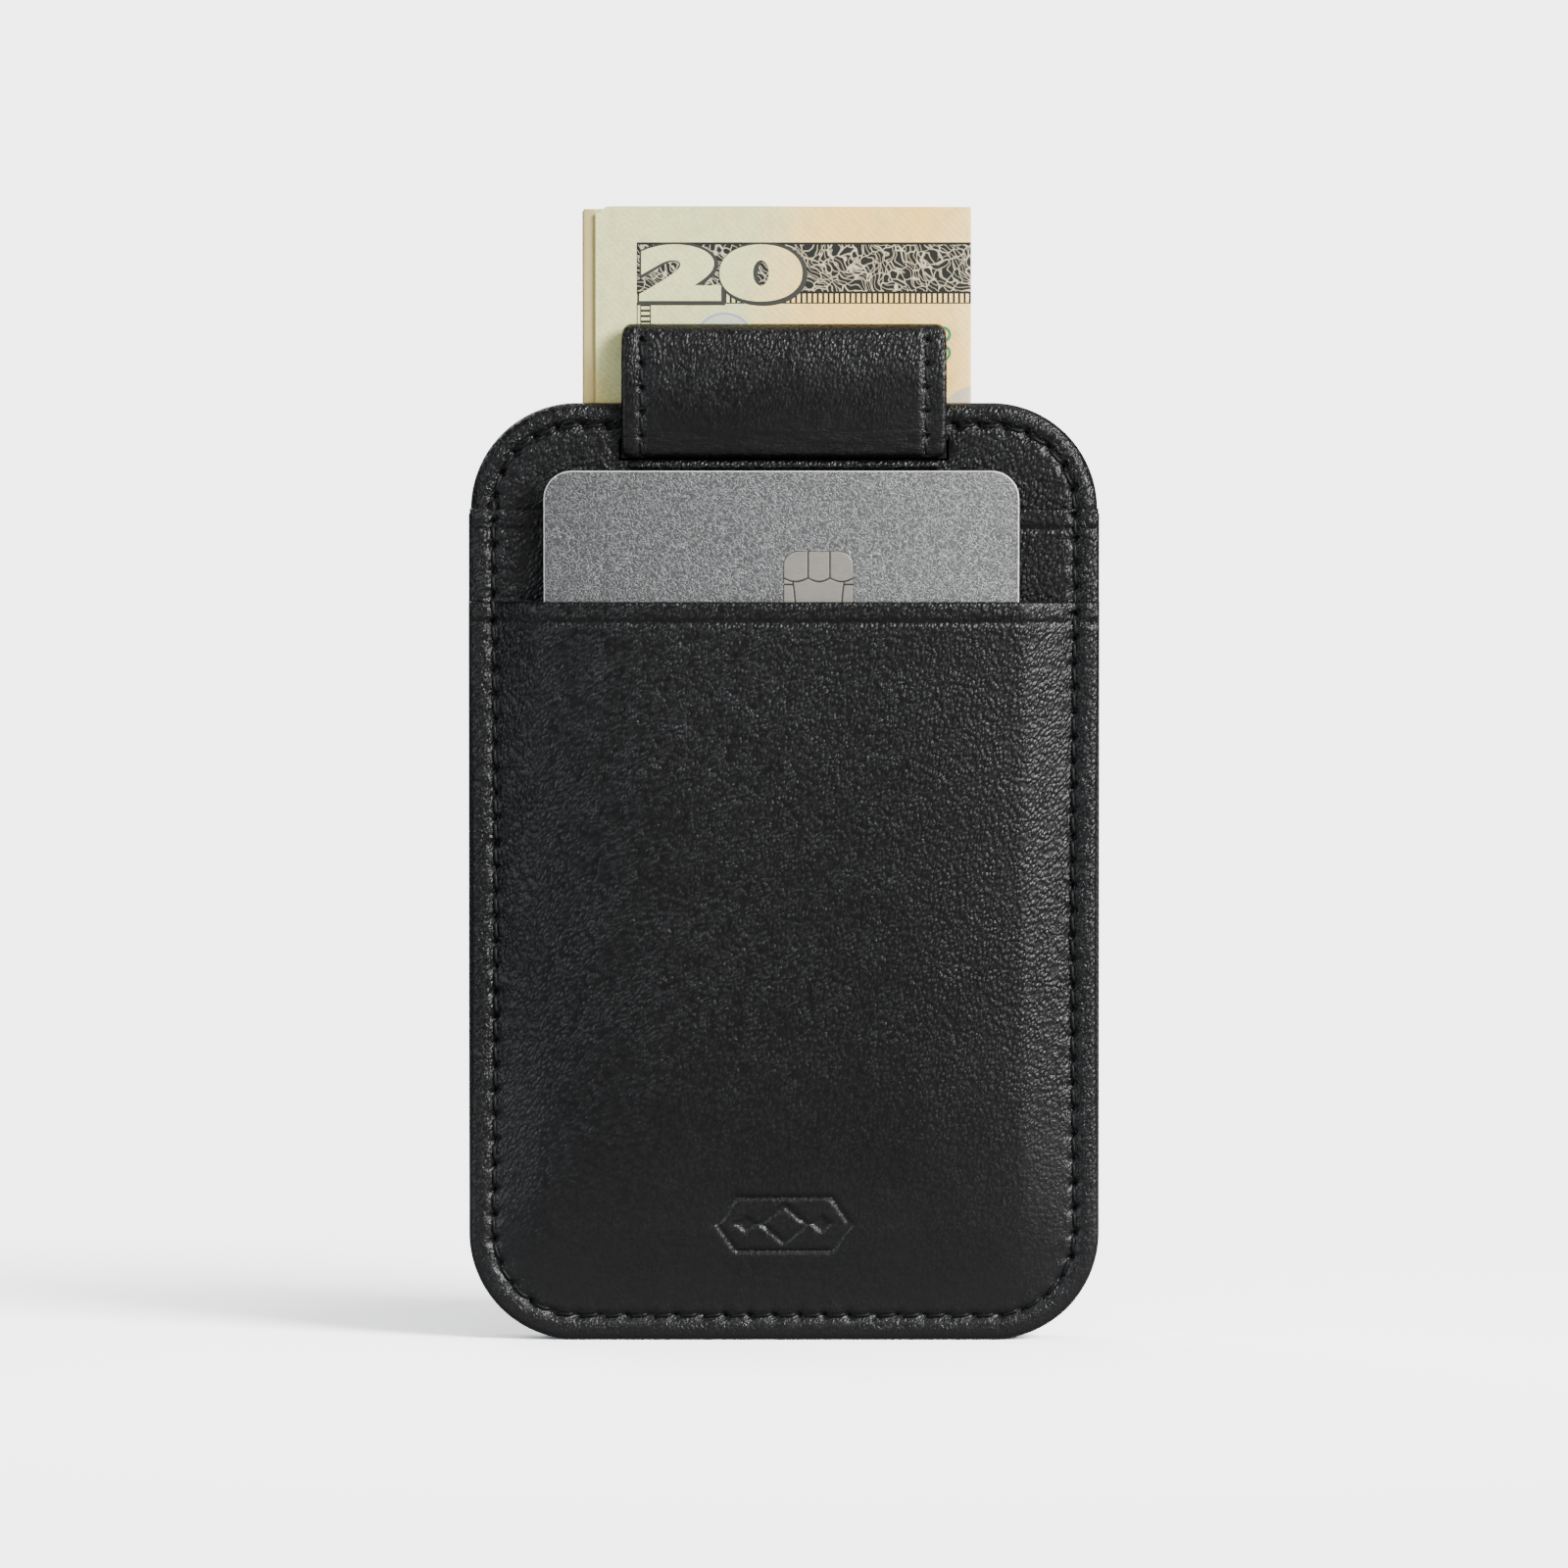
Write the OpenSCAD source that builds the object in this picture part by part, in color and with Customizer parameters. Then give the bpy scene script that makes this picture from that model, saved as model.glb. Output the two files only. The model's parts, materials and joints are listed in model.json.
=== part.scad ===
// Magnetic money clip wallet: a leather card case whose top carries a magnetic clip.
// The clip has two leather jaws, a short tab at the front and a longer flap at the back.
// Folded banknotes stand between them, in the open-topped middle compartment.
// Frame: X to the right, -Y to the front, +Z up. The origin is the middle of the bottom edge.

/* [Case] */
// Width of the card case
body_w = 71.8; // [70:0.1:76]
// Height of the card case
body_h = 107; // [105:0.1:110]
// Radius of the four outer corners
corner_r = 12.3; // [10:0.1:14]
// Height of the front pocket's mouth
front_mouth_z = 84.2; // [80:0.1:88]
// Height of the second pocket's mouth
second_mouth_z = 94.8; // [92:0.1:97]
// Half of the middle compartment's free depth
gap_half = 1.0; // [1.0:0.05:1.6]

/* [Layers] */
// Thickness of the outer panels' leather
panel_t = 1.0; // [0.8:0.1:1.2]
// Thickness of the pockets' leather
pocket_t = 0.8; // [0.7:0.05:0.9]
// Thickness of the woven linings behind the pockets
pocket_lining_t = 0.2; // [0.15:0.05:0.25]
// Thickness of the middle compartment's linings
lining_t = 0.3; // [0.2:0.05:0.4]
// Thickness of the stiffening boards
board_t = 0.3; // [0.3:0.05:0.4]
// Width of the gusset strip in the side and bottom seams
gusset_w = 5; // [4:0.5:6]

/* [Clip] */
// Width of the front tab and of the rear flap
strap_w = 37; // [34:0.5:38]
// Height of the front tab's folded top
tab_top_z = 115.8; // [115:0.1:117]
// Height of the lower lip of the front tab's slit
tab_slit_z = 100.5; // [100:0.1:101]
// Height of the rear flap's hinge line
flap_hinge_z = 80; // [76:0.5:84]
// Thickness of one ply of strap leather
ply_t = 0.9; // [0.8:0.05:0.9]
// Diameter of a disc magnet
magnet_d = 5.8; // [5.4:0.1:5.8]
// Thickness of a disc magnet
magnet_t = 0.9; // [0.7:0.05:0.9]
// Distance between neighbouring magnets
magnet_pitch = 9.5; // [9:0.1:10]

/* [Stitching] */
// Distance from the edge to the case's seam
seam_inset = 2.8; // [2.5:0.1:3]
// Length of one stitch and its gap
stitch_pitch = 2.8; // [2.6:0.1:3.2]
// Thickness of the thread
thread_d = 0.4; // [0.3:0.05:0.4]
// Distance from the strap's side edges to its seams
strap_seam_inset = 2.3; // [2:0.1:2.4]

/* [Card] */
// Width of the card
card_w = 53.98; // [53.9:0.01:54]
// Height of the card
card_h = 85.6; // [85.5:0.01:85.7]
// Thickness of the card
card_t = 0.8; // [0.7:0.01:0.8]
// Height of the card's lower edge
card_z = 13.5; // [13:0.1:14]
// Angle by which the card leans forward, so that it passes in front of the tab
card_lean = 1.5; // [1.5:0.05:1.6]

/* [Banknotes] */
// Width of the folded notes
note_w = 44; // [42:0.5:46]
// Height of the notes
note_h = 66.3; // [60:0.1:68]
// Height of the notes' lower edge
note_z = 62.9; // [62:0.1:63.5]

/* [Hidden] */

$fn = 96;
tiny = 0.02;

// Distances of the layers' outer faces from the middle plane.
y_lining = gap_half + lining_t;
y_board = y_lining + board_t;
y_panel = y_board + panel_t;
y_second_lining = y_panel + pocket_lining_t;
y_second = y_second_lining + 0.7;
y_front_lining = y_second + pocket_lining_t;
y_front = y_front_lining + pocket_t;

// The card stands just clear of the second pocket.
card_x = -0.3;
card_y = -(y_second + 0.25);
card_r = 3.18;
card_play = 0.12;

// The front tab: a cushion of two plies, bulged to the front, that steps back over the rim.
// It bends at its slit, about a line just in front of the panel.
tab_bulge_y = y_panel + 2.1;
tab_bulge_r = 22.9;
tab_mid_z = 107.7;
strap_gap = 0.05;
tab_hinge_r = 0.6;
tab_hinge_y = -(y_panel + strap_gap + tab_hinge_r);
tab_hinge_z = tab_slit_z + tab_hinge_r;
note_side = gap_half - 0.05;
slit_h = 2 * ply_t;
rim_play = 0.3;
fold_r = 1.4;
tab_fold_z = tab_top_z - fold_r;
tail_len = 14;
strap_margin = 3.2;
magnet_z = 111.2;

// The rear flap: flat outside, with a thicker head above the rim.
flap_y = y_panel + strap_gap + ply_t;
flap_out_y = flap_y + ply_t;
flap_head_r = (flap_out_y - note_side) / 2;
flap_head_z = tab_top_z - 0.15 - flap_head_r;
head_z = body_h + rim_play;

// Both notes are folded together, to and fro, into four double layers.
note_x = -0.9;
note_t = 0.1;
note_layers = 4;
note_pair_offset = 0.07;
note_fold_r = 0.19;
note_last_w = 26;
note_first_edge = 1.2;

// ---------------------------------------------------------------- outlines

// A rounded rectangle standing on the X axis, drawn from squares and circles.
module rounded(w, h, r) {
    translate([-w / 2 + r, 0]) square([w - 2 * r, h]);
    translate([-w / 2, r]) square([w, h - 2 * r]);
    for (sx = [-1, 1], z = [r, h - r])
        translate([sx * (w / 2 - r), z]) circle(r = r);
}

// The case's outline, drawn in from the edge by inset and cut off at the height top.
module case_outline(inset = 0, top = body_h) {
    intersection() {
        translate([0, inset])
            rounded(body_w - 2 * inset, body_h - 2 * inset, corner_r - inset);
        translate([-body_w, 0]) square([2 * body_w, top]);
    }
}

// Stands a flat drawing up, as a sheet between the depths y0 and y1.
module upright(y0, y1) {
    translate([0, y1, 0]) rotate([90, 0, 0]) linear_extrude(y1 - y0) children();
}

// Draws a side profile, given as depth and height, across the width w.
module across(w) {
    rotate([90, 0, 90]) linear_extrude(w, center = true) children();
}

// A rectangle in a side profile, from one corner to the other.
module side_box(y0, z0, y1, z1) {
    translate([min(y0, y1), min(z0, z1)]) square([abs(y1 - y0), abs(z1 - z0)]);
}

// ---------------------------------------------------------------- case layers

module slit(y0, y1, z0) {
    upright(y0, y1) translate([-strap_w / 2 - 0.1, z0 - 0.1]) square([strap_w + 0.2, slit_h + 0.2]);
}

module tail_window(y0, y1, top) {
    upright(y0, y1) translate([-strap_w / 2 - 0.5, top - tail_len - 0.5])
        square([strap_w + 1, tail_len + 1]);
}

module back_panel() {
    color("#17171a") difference() {
        upright(y_board, y_panel) case_outline();
        slit(y_board - 1, y_panel + 1, flap_hinge_z - ply_t);
    }
}

module back_board() {
    color("#6b5a48") difference() {
        upright(y_lining, y_board) case_outline(inset = 0.6);
        tail_window(y_lining - 1, y_board + 1, flap_hinge_z + ply_t);
    }
}

module back_lining() {
    color("#202024") upright(gap_half, y_lining) case_outline();
}

// A U-shaped strip that keeps the two leaves apart in the side and bottom seams.
module gusset_strip() {
    color("#121214") upright(-gap_half, gap_half) difference() {
        case_outline(top = second_mouth_z - 2);
        translate([0, gusset_w])
            rounded(body_w - 2 * gusset_w, body_h, corner_r - gusset_w);
    }
}

module front_lining() {
    color("#202024") upright(-y_lining, -gap_half) case_outline();
}

module front_board() {
    color("#6b5a48") difference() {
        upright(-y_board, -y_lining) case_outline(inset = 0.6);
        tail_window(-y_board - 1, -y_lining + 1, tab_slit_z + slit_h);
    }
}

module front_panel() {
    color("#17171a") difference() {
        upright(-y_panel, -y_board) case_outline();
        slit(-y_panel - 1, -y_board + 1, tab_slit_z);
    }
}

module second_pocket_lining() {
    color("#202024") upright(-y_second_lining, -y_panel) case_outline(top = second_mouth_z - 0.6);
}

module second_pocket() {
    color("#17171a") upright(-y_second, -y_second_lining) case_outline(top = second_mouth_z);
}

// ---------------------------------------------------------------- front pocket

// The card's outline grown by grow, leaning with the card, as a thin plate at depth ahead of it.
module card_plate(grow, ahead) {
    translate([card_x, card_y, card_z]) rotate([card_lean, 0, 0])
        translate([0, -card_t - ahead, -grow])
            upright(-tiny, 0) rounded(card_w + 2 * grow, card_h + 2 * grow, card_r + grow, $fn = 32);
}

// The room that the front pocket bulges over: from the rim's plane up to a plate ahead of the card.
module pocket_form(depth, inset, grow, ahead) {
    hull() {
        upright(-depth - tiny, -depth) case_outline(inset = inset, $fn = 32);
        card_plate(grow, ahead);
    }
}

module pocket_room() { pocket_form(y_second, gusset_w, 0.35, card_play); }
module pocket_room_lined() { pocket_form(y_front_lining, gusset_w - 0.6, 0.6, card_play + pocket_lining_t); }
module pocket_outside() {
    pocket_form(y_front, gusset_w - 1.3, 1.1, card_play + pocket_lining_t + pocket_t);
}

// Keeps only what lies below the front pocket's mouth.
module below_mouth(drop = 0) {
    intersection() {
        children();
        translate([-body_w, -20, -1]) cube([2 * body_w, 40, front_mouth_z - drop + 1]);
    }
}

module front_pocket_lining() {
    color("#202024") below_mouth(drop = 0.6) difference() {
        union() {
            upright(-y_front_lining, -y_second) case_outline($fn = 48);
            pocket_room_lined();
        }
        pocket_room();
    }
}

module front_pocket() {
    color("#17171a") below_mouth() difference() {
        union() {
            upright(-y_front, -y_front_lining) case_outline($fn = 48);
            pocket_outside();
        }
        pocket_room_lined();
    }
}

// ---------------------------------------------------------------- stitching

seam_w = body_w - 2 * seam_inset;
seam_h = body_h - 2 * seam_inset;
seam_r = corner_r - seam_inset;
seam_run_w = seam_w - 2 * seam_r;
seam_run_h = seam_h - 2 * seam_r;
seam_arc = seam_r * PI / 2;
seam_len = 2 * (seam_run_w + seam_run_h) + 4 * seam_arc;
seam_stitches = floor(seam_len / stitch_pitch);

// Where the seam is after the length s, from the left end of its bottom run: [x, z, heading].
function on_corner(cx, cz, from, s) =
    let (a = from + s / seam_r * 180 / PI)
    [cx + seam_r * cos(a), cz + seam_r * sin(a), a + 90];

function seam_at(s) =
    let (
        x = seam_run_w / 2,
        low = seam_inset + seam_r,
        high = low + seam_run_h,
        e1 = seam_run_w,
        e2 = e1 + seam_arc,
        e3 = e2 + seam_run_h,
        e4 = e3 + seam_arc,
        e5 = e4 + seam_run_w,
        e6 = e5 + seam_arc,
        e7 = e6 + seam_run_h
    )
    s < e1 ? [s - x, seam_inset, 0] :
    s < e2 ? on_corner(x, low, 270, s - e1) :
    s < e3 ? [x + seam_r, low + s - e2, 90] :
    s < e4 ? on_corner(x, high, 0, s - e3) :
    s < e5 ? [x - (s - e4), seam_inset + seam_h, 180] :
    s < e6 ? on_corner(-x, high, 90, s - e5) :
    s < e7 ? [-x - seam_r, high - (s - e6), 270] :
    on_corner(-x, low, 180, s - e7);

stitch_len = stitch_pitch - 0.8;

// How far the case's front face stands forward at the height z, for a stitch centred there.
function front_face(z) =
    z - stitch_len / 2 < front_mouth_z + 0.1 ? y_front :
    z - stitch_len / 2 < second_mouth_z + 0.1 ? y_second : y_panel;

// One stitch lying on a face of the case. side is -1 at the front and 1 at the back.
module stitch(p, face, side) {
    translate([p[0], side * (face + thread_d / 2 + tiny), p[1]])
        rotate([0, 90 - p[2], 0])
            cylinder(d = thread_d, h = stitch_len, center = true, $fn = 16);
}

// A stitch is left out where the strap covers the seam along the top.
module case_seam(side) {
    for (i = [0 : seam_stitches - 1]) {
        p = seam_at((i + 0.5) * seam_len / seam_stitches);
        hidden = abs(p[0]) < strap_w / 2 + 1.4 && p[1] > body_h / 2;
        if (!hidden)
            stitch(p, side < 0 ? front_face(p[1]) : y_panel, side);
    }
}

module case_seam_thread_front() { color("#0c0c0e") case_seam(-1); }
module case_seam_thread_back() { color("#0c0c0e") case_seam(1); }

// ---------------------------------------------------------------- front tab

// The tab's side profile, with its leather skin taken in by skin.
module tab_side(skin) {
    translate([-tab_bulge_y + tab_bulge_r, tab_mid_z]) circle(r = tab_bulge_r - skin, $fn = 240);
}

module tab_head(skin) {
    intersection() {
        tab_side(skin);
        side_box(-tab_bulge_y - 1, head_z + skin, -note_side - skin, tab_fold_z);
    }
    translate([-note_side - fold_r, tab_fold_z]) circle(r = fold_r - skin);
}

module tab_profile() {
    tab_head(0);
    intersection() {
        tab_side(0);
        side_box(-tab_bulge_y - 1, tab_hinge_z, -y_panel - strap_gap, head_z + 0.5);
    }
    translate([tab_hinge_y, tab_hinge_z]) circle(r = tab_hinge_r);
}

module tab_cavity() {
    across(strap_w - 2 * strap_margin) tab_head(ply_t);
}

module magnet_row(y) {
    for (i = [-1 : 1])
        translate([i * magnet_pitch, y + magnet_t / 2, magnet_z])
            rotate([90, 0, 0]) cylinder(d = magnet_d, h = magnet_t);
}

tab_magnet_y = -note_side - ply_t - magnet_t / 2 - strap_gap;

// The glued end of a strap, from its slit down behind the panel. side is -1 at the front.
module strap_tail(side, top) {
    color("#17171a") across(strap_w) {
        side_box(side * y_lining, top - slit_h, side * (y_panel - strap_gap), top);
        side_box(side * y_lining, top - tail_len, side * y_board, top);
    }
}

module front_tab_tail() { strap_tail(-1, tab_slit_z + slit_h); }

module front_tab_cover() {
    color("#17171a") difference() {
        across(strap_w) tab_profile();
        tab_cavity();
    }
}

module front_tab_padding() {
    color("#3a3a3c") difference() {
        tab_cavity();
        magnet_row(tab_magnet_y);
    }
}

module front_tab_magnets() { color("silver") magnet_row(tab_magnet_y); }

tab_stitches = 5;
tab_stitch_step = 7;

module front_tab_thread() {
    color("#0c0c0e")
        for (side = [-1, 1], i = [0 : tab_stitches - 1]) {
            a = (i - (tab_stitches - 1) / 2) * tab_stitch_step;
            translate([side * (strap_w / 2 - strap_seam_inset), -tab_bulge_y + tab_bulge_r, tab_mid_z])
                rotate([a, 0, 0])
                    translate([0, -tab_bulge_r - thread_d / 2 - tiny, 0])
                        cylinder(d = thread_d, h = stitch_len, center = true, $fn = 16);
        }
}

// ---------------------------------------------------------------- rear flap

module rear_flap_tail() { strap_tail(1, flap_hinge_z + ply_t); }

module flap_head(skin) {
    side_box(note_side + skin, head_z + skin, flap_out_y - skin, flap_head_z);
    translate([note_side + flap_head_r, flap_head_z]) circle(r = flap_head_r - skin);
}

module flap_profile() {
    translate([flap_y, flap_hinge_z]) circle(r = ply_t);
    side_box(flap_y - ply_t, flap_hinge_z, flap_out_y, head_z + 0.5);
    flap_head(0);
}

module flap_cavity() {
    across(strap_w - 2 * strap_margin) flap_head(ply_t);
}

flap_magnet_y = note_side + ply_t + magnet_t / 2 + strap_gap;

module rear_flap_cover() {
    color("#17171a") difference() {
        across(strap_w) flap_profile();
        flap_cavity();
    }
}

module rear_flap_padding() {
    color("#3a3a3c") difference() {
        flap_cavity();
        magnet_row(flap_magnet_y);
    }
}

module rear_flap_magnets() { color("silver") magnet_row(flap_magnet_y); }

flap_seam_z = flap_hinge_z + 2.6;
flap_stitches = floor((flap_head_z - flap_seam_z) / stitch_pitch);

module rear_flap_thread() {
    color("#0c0c0e")
        for (side = [-1, 1], i = [0 : flap_stitches - 1])
            stitch(
                [side * (strap_w / 2 - strap_seam_inset), flap_seam_z + (i + 0.5) * stitch_pitch, 90],
                flap_out_y, 1
            );
}

// ---------------------------------------------------------------- card

chip_x = 3.9;
chip_top = 90;
chip_w = 8;
chip_h = 10.6;
chip_r = 1.6;
chip_t = 0.2;

// The chip's plate, set into the card's front face and standing a hair proud of it.
module chip_plate(play, proud) {
    translate([card_x, card_y, card_z]) rotate([card_lean, 0, 0])
        translate([chip_x - card_x, 0, chip_top - chip_h - card_z - play])
            upright(-card_t - proud, -card_t + chip_t)
                rounded(chip_w + 2 * play, chip_h + 2 * play, chip_r + play);
}

module card_body() {
    color("#8f9092") difference() {
        translate([card_x, card_y, card_z]) rotate([card_lean, 0, 0])
            upright(-card_t, 0) rounded(card_w, card_h, card_r);
        chip_plate(0.03, 1);
    }
}

module card_chip() { color("#b9b5ad") chip_plate(0, 0.03); }

// ---------------------------------------------------------------- banknotes

note_left = note_x - note_w / 2 + note_fold_r;
note_right = note_x + note_w / 2 - note_fold_r;
function note_layer_y(k) = (2 * k - (note_layers - 1)) * note_fold_r;

// A half turn round [cx, cy], from the layer in front to the layer behind.
function half_turn(cx, cy, r, right) =
    [for (i = [0 : 8]) let (a = -90 + i * 22.5) [cx + (right ? 1 : -1) * r * cos(a), cy + r * sin(a)]];

// The line that a sheet follows from its front edge to its last edge, o to the left of the pair's middle.
function note_line(o) = concat(
    [[note_left + note_first_edge, note_layer_y(0) + o]],
    half_turn(note_right, note_layer_y(0) + note_fold_r, note_fold_r - o, true),
    half_turn(note_left, note_layer_y(1) + note_fold_r, note_fold_r + o, false),
    half_turn(note_right, note_layer_y(2) + note_fold_r, note_fold_r - o, true),
    [[note_right - note_last_w, note_layer_y(3) - o]]
);

function backwards(v) = [for (i = [len(v) - 1 : -1 : 0]) v[i]];

module note_sheet(o) {
    translate([0, 0, note_z]) linear_extrude(note_h)
        polygon(concat(note_line(o - note_t / 2), backwards(note_line(o + note_t / 2))));
}

module banknote_outer() { color("#c9c7ac") note_sheet(-note_pair_offset); }
module banknote_inner() { color("#c9c7ac") note_sheet(note_pair_offset); }

back_panel();
back_board();
back_lining();
gusset_strip();
front_lining();
front_board();
front_panel();
second_pocket_lining();
second_pocket();
front_pocket_lining();
front_pocket();
case_seam_thread_front();
case_seam_thread_back();
front_tab_tail();
front_tab_cover();
front_tab_padding();
front_tab_magnets();
front_tab_thread();
rear_flap_tail();
rear_flap_cover();
rear_flap_padding();
rear_flap_magnets();
rear_flap_thread();
card_body();
card_chip();
banknote_outer();
banknote_inner();
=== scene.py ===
"""Magnetic money clip wallet: leather, stitching, card and banknotes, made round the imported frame."""

import json
import math

import bmesh
import bpy
import numpy as np
from mathutils import Matrix, Vector, noise


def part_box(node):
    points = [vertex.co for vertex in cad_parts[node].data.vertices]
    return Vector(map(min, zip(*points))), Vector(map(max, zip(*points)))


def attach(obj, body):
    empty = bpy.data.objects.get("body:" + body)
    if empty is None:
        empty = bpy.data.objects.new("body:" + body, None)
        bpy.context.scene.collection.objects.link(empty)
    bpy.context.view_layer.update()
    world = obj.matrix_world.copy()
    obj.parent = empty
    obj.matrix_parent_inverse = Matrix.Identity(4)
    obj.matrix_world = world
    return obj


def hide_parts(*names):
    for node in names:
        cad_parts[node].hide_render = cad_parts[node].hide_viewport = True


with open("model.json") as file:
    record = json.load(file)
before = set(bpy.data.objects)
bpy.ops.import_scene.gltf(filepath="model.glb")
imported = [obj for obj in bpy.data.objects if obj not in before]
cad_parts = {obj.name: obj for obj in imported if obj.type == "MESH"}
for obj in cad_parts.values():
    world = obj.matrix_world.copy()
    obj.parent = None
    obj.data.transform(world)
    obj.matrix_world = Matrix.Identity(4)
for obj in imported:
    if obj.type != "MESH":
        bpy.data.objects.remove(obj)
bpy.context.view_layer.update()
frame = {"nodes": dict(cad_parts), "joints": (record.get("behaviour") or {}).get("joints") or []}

# Lengths in this script are in millimetres, until a piece is finished.
MM = 0.001


# ------------------------------------------------------------------ driving dimensions

def node_box(node):
    """A frame node's lowest and highest corners."""
    low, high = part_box(node)
    return low / MM, high / MM


panel_low, panel_high = node_box("front_panel")
second_low, second_high = node_box("second_pocket")
pocket_high = node_box("front_pocket")[1]
lining_low, lining_high = node_box("front_lining")
card_low, card_high = node_box("card_body")
chip_low, chip_high = node_box("card_chip")
tab_low, tab_high = node_box("front_tab_cover")
flap_low, flap_high = node_box("rear_flap_cover")
notes_low, notes_high = node_box("banknote_outer")
joints = {joint["name"]: joint for joint in frame["joints"]}

CASE_W = panel_high.x - panel_low.x
CASE_H = panel_high.z
CORNER = 12.3
SHOULDER_Z = CASE_H - CORNER

# How far the layers' faces stand out from the middle plane.
GAP_HALF = -lining_high.y
LINING_OUT = -lining_low.y
PANEL_OUT = -panel_low.y
SECOND_OUT = -second_low.y
POCKET_T = 0.8
POCKET_LINING_T = 0.2
POCKET_BACK_OUT = -pocket_high.y
POCKET_OUT = POCKET_BACK_OUT + POCKET_T

# How far each layer's outline is drawn in, and how wide its rolled edge is.
LEAF_INSET, LEAF_ROLL = 0.2, 1.1
SECOND_INSET, SECOND_ROLL = 0.1, 0.6
POCKET_INSET, POCKET_ROLL = 0.0, 0.72
LINING_INSET = 1.5

SECOND_MOUTH = second_high.z
POCKET_MOUTH = pocket_high.z
HEM = 2.35

SEAM_INSET = 2.8
SEAM_PITCH = 2.8
THREAD_R = 0.24

STRAP_HALF = tab_high.x
STRAP_SEAM = STRAP_HALF - 2.3
SLIT_Z = tab_low.z
SLIT_H = 1.8
TAB_OUT = 3.75
FLAP_SLIT_Z = flap_low.z
RIM_STEP_Z = CASE_H + 0.3

CARD_LEAN = math.atan2(joints["card_slide"]["axis"][1], -joints["card_slide"]["axis"][2])
CARD_T = 0.8
CARD_X = (card_low.x + card_high.x) / 2
CARD_HALF = (card_high.x - card_low.x) / 2
CARD_R = 3.18
CARD_PLAY = 0.12
CARD_FOOT = Vector((CARD_X, card_high.y, card_low.z + CARD_T * math.sin(CARD_LEAN)))
CARD_PLACE = Matrix.Translation(CARD_FOOT) @ Matrix.Rotation(CARD_LEAN, 4, "X")
CARD_BEVEL = 0.13
CHIP_R = 1.6
CHIP_STEP = 0.055
CONTACT_RISE = 0.045
CONTACT_GAP = 0.04

# The notes lie in four double layers. NEST is how far each note stands from its double layer's middle.
LAYER = 0.38
NEST = 0.07
NOTE_T = 0.1
NOTE_LEFT = notes_low.x + 0.2
NOTE_RIGHT = notes_high.x - 0.2
NOTE_LOW = notes_low.z
NOTE_HIGH = notes_high.z


# ------------------------------------------------------------------ measuring

def ease(value, start, end):
    """0 before start, 1 after end, and a smooth step between them."""
    t = np.clip((value - start) / (end - start), 0, 1)
    return t * t * (3 - 2 * t)


def hump(value, middle, width):
    """A smooth hump of height 1."""
    return np.exp(-(((value - middle) / width) ** 2))


def rolled(distance, width):
    """How far a rolled edge has fallen away at a distance inside it, as a part of its whole drop."""
    t = np.clip(1 - distance / width, 0, 1)
    return 1 - np.sqrt(np.clip(1 - t * t, 0, 1))


def needle_holes(s, pitch, sharpness):
    """1 at each needle hole along a seam, and 0 between the holes."""
    return np.clip(np.cos(2 * np.pi * s / pitch), 0, 1) ** sharpness


def ripple(x, z, size, seed):
    """Smooth noise from about -1 to 1, with features of about that size."""
    return np.array([noise.noise(Vector((a / size, b / size, seed))) for a, b in zip(x, z)])


def inside(x, z, middle, half, low, high, r):
    """How far inside a rounded rectangle each point lies. It is negative outside."""
    qx = np.abs(x - middle) - (half - r)
    qz = np.abs(z - (low + high) / 2) - ((high - low) / 2 - r)
    corner = np.hypot(np.maximum(qx, 0), np.maximum(qz, 0))
    return r - corner - np.minimum(np.maximum(qx, qz), 0)


def from_edge(x, z, inset=0.0):
    """How far inside the case's outline each point lies, for a layer drawn in by inset."""
    return inside(x, z, 0, CASE_W / 2 - inset, inset, CASE_H - inset, CORNER - inset)


def stations(start, *runs):
    """Positions from start on, in runs of (end, step)."""
    points = [start]
    for end, step in runs:
        count = max(1, round(abs(end - points[-1]) / step))
        points += list(np.linspace(points[-1], end, count + 1)[1:])
    return np.array(points)


def lengths_along(points):
    """How far along a line each of its points lies."""
    return np.concatenate([[0], np.cumsum(np.hypot(*np.diff(points, axis=0).T))])


# The seam round the case, as a rounded rectangle that starts at the left of the bottom run.
SEAM_R = CORNER - SEAM_INSET
RUN_X = CASE_W / 2 - CORNER
RUN_LOW = CORNER
RUN_HIGH = SHOULDER_Z
SIDE = RUN_HIGH - RUN_LOW
ARC = SEAM_R * math.pi / 2
SEAM_LENGTH = 4 * RUN_X + 2 * SIDE + 4 * ARC
SEAM_COUNT = int(SEAM_LENGTH / SEAM_PITCH)
SEAM_STEP = SEAM_LENGTH / SEAM_COUNT


def seam_point(s):
    """The place of the seam at length s: four runs, each with its corner's arc after it."""
    s = s % SEAM_LENGTH
    corners = ((RUN_X, RUN_LOW), (RUN_X, RUN_HIGH), (-RUN_X, RUN_HIGH), (-RUN_X, RUN_LOW))
    for side, (x, z) in enumerate(corners):
        run = SIDE if side % 2 else 2 * RUN_X
        if s <= run + ARC:
            break
        s -= run + ARC
    outwards = (side - 1) * math.pi / 2
    to_corner = max(run - s, 0)
    angle = outwards + max(s - run, 0) / SEAM_R
    x += SEAM_R * math.cos(angle) + to_corner * math.sin(outwards)
    z += SEAM_R * math.sin(angle) - to_corner * math.cos(outwards)
    return x, z


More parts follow.
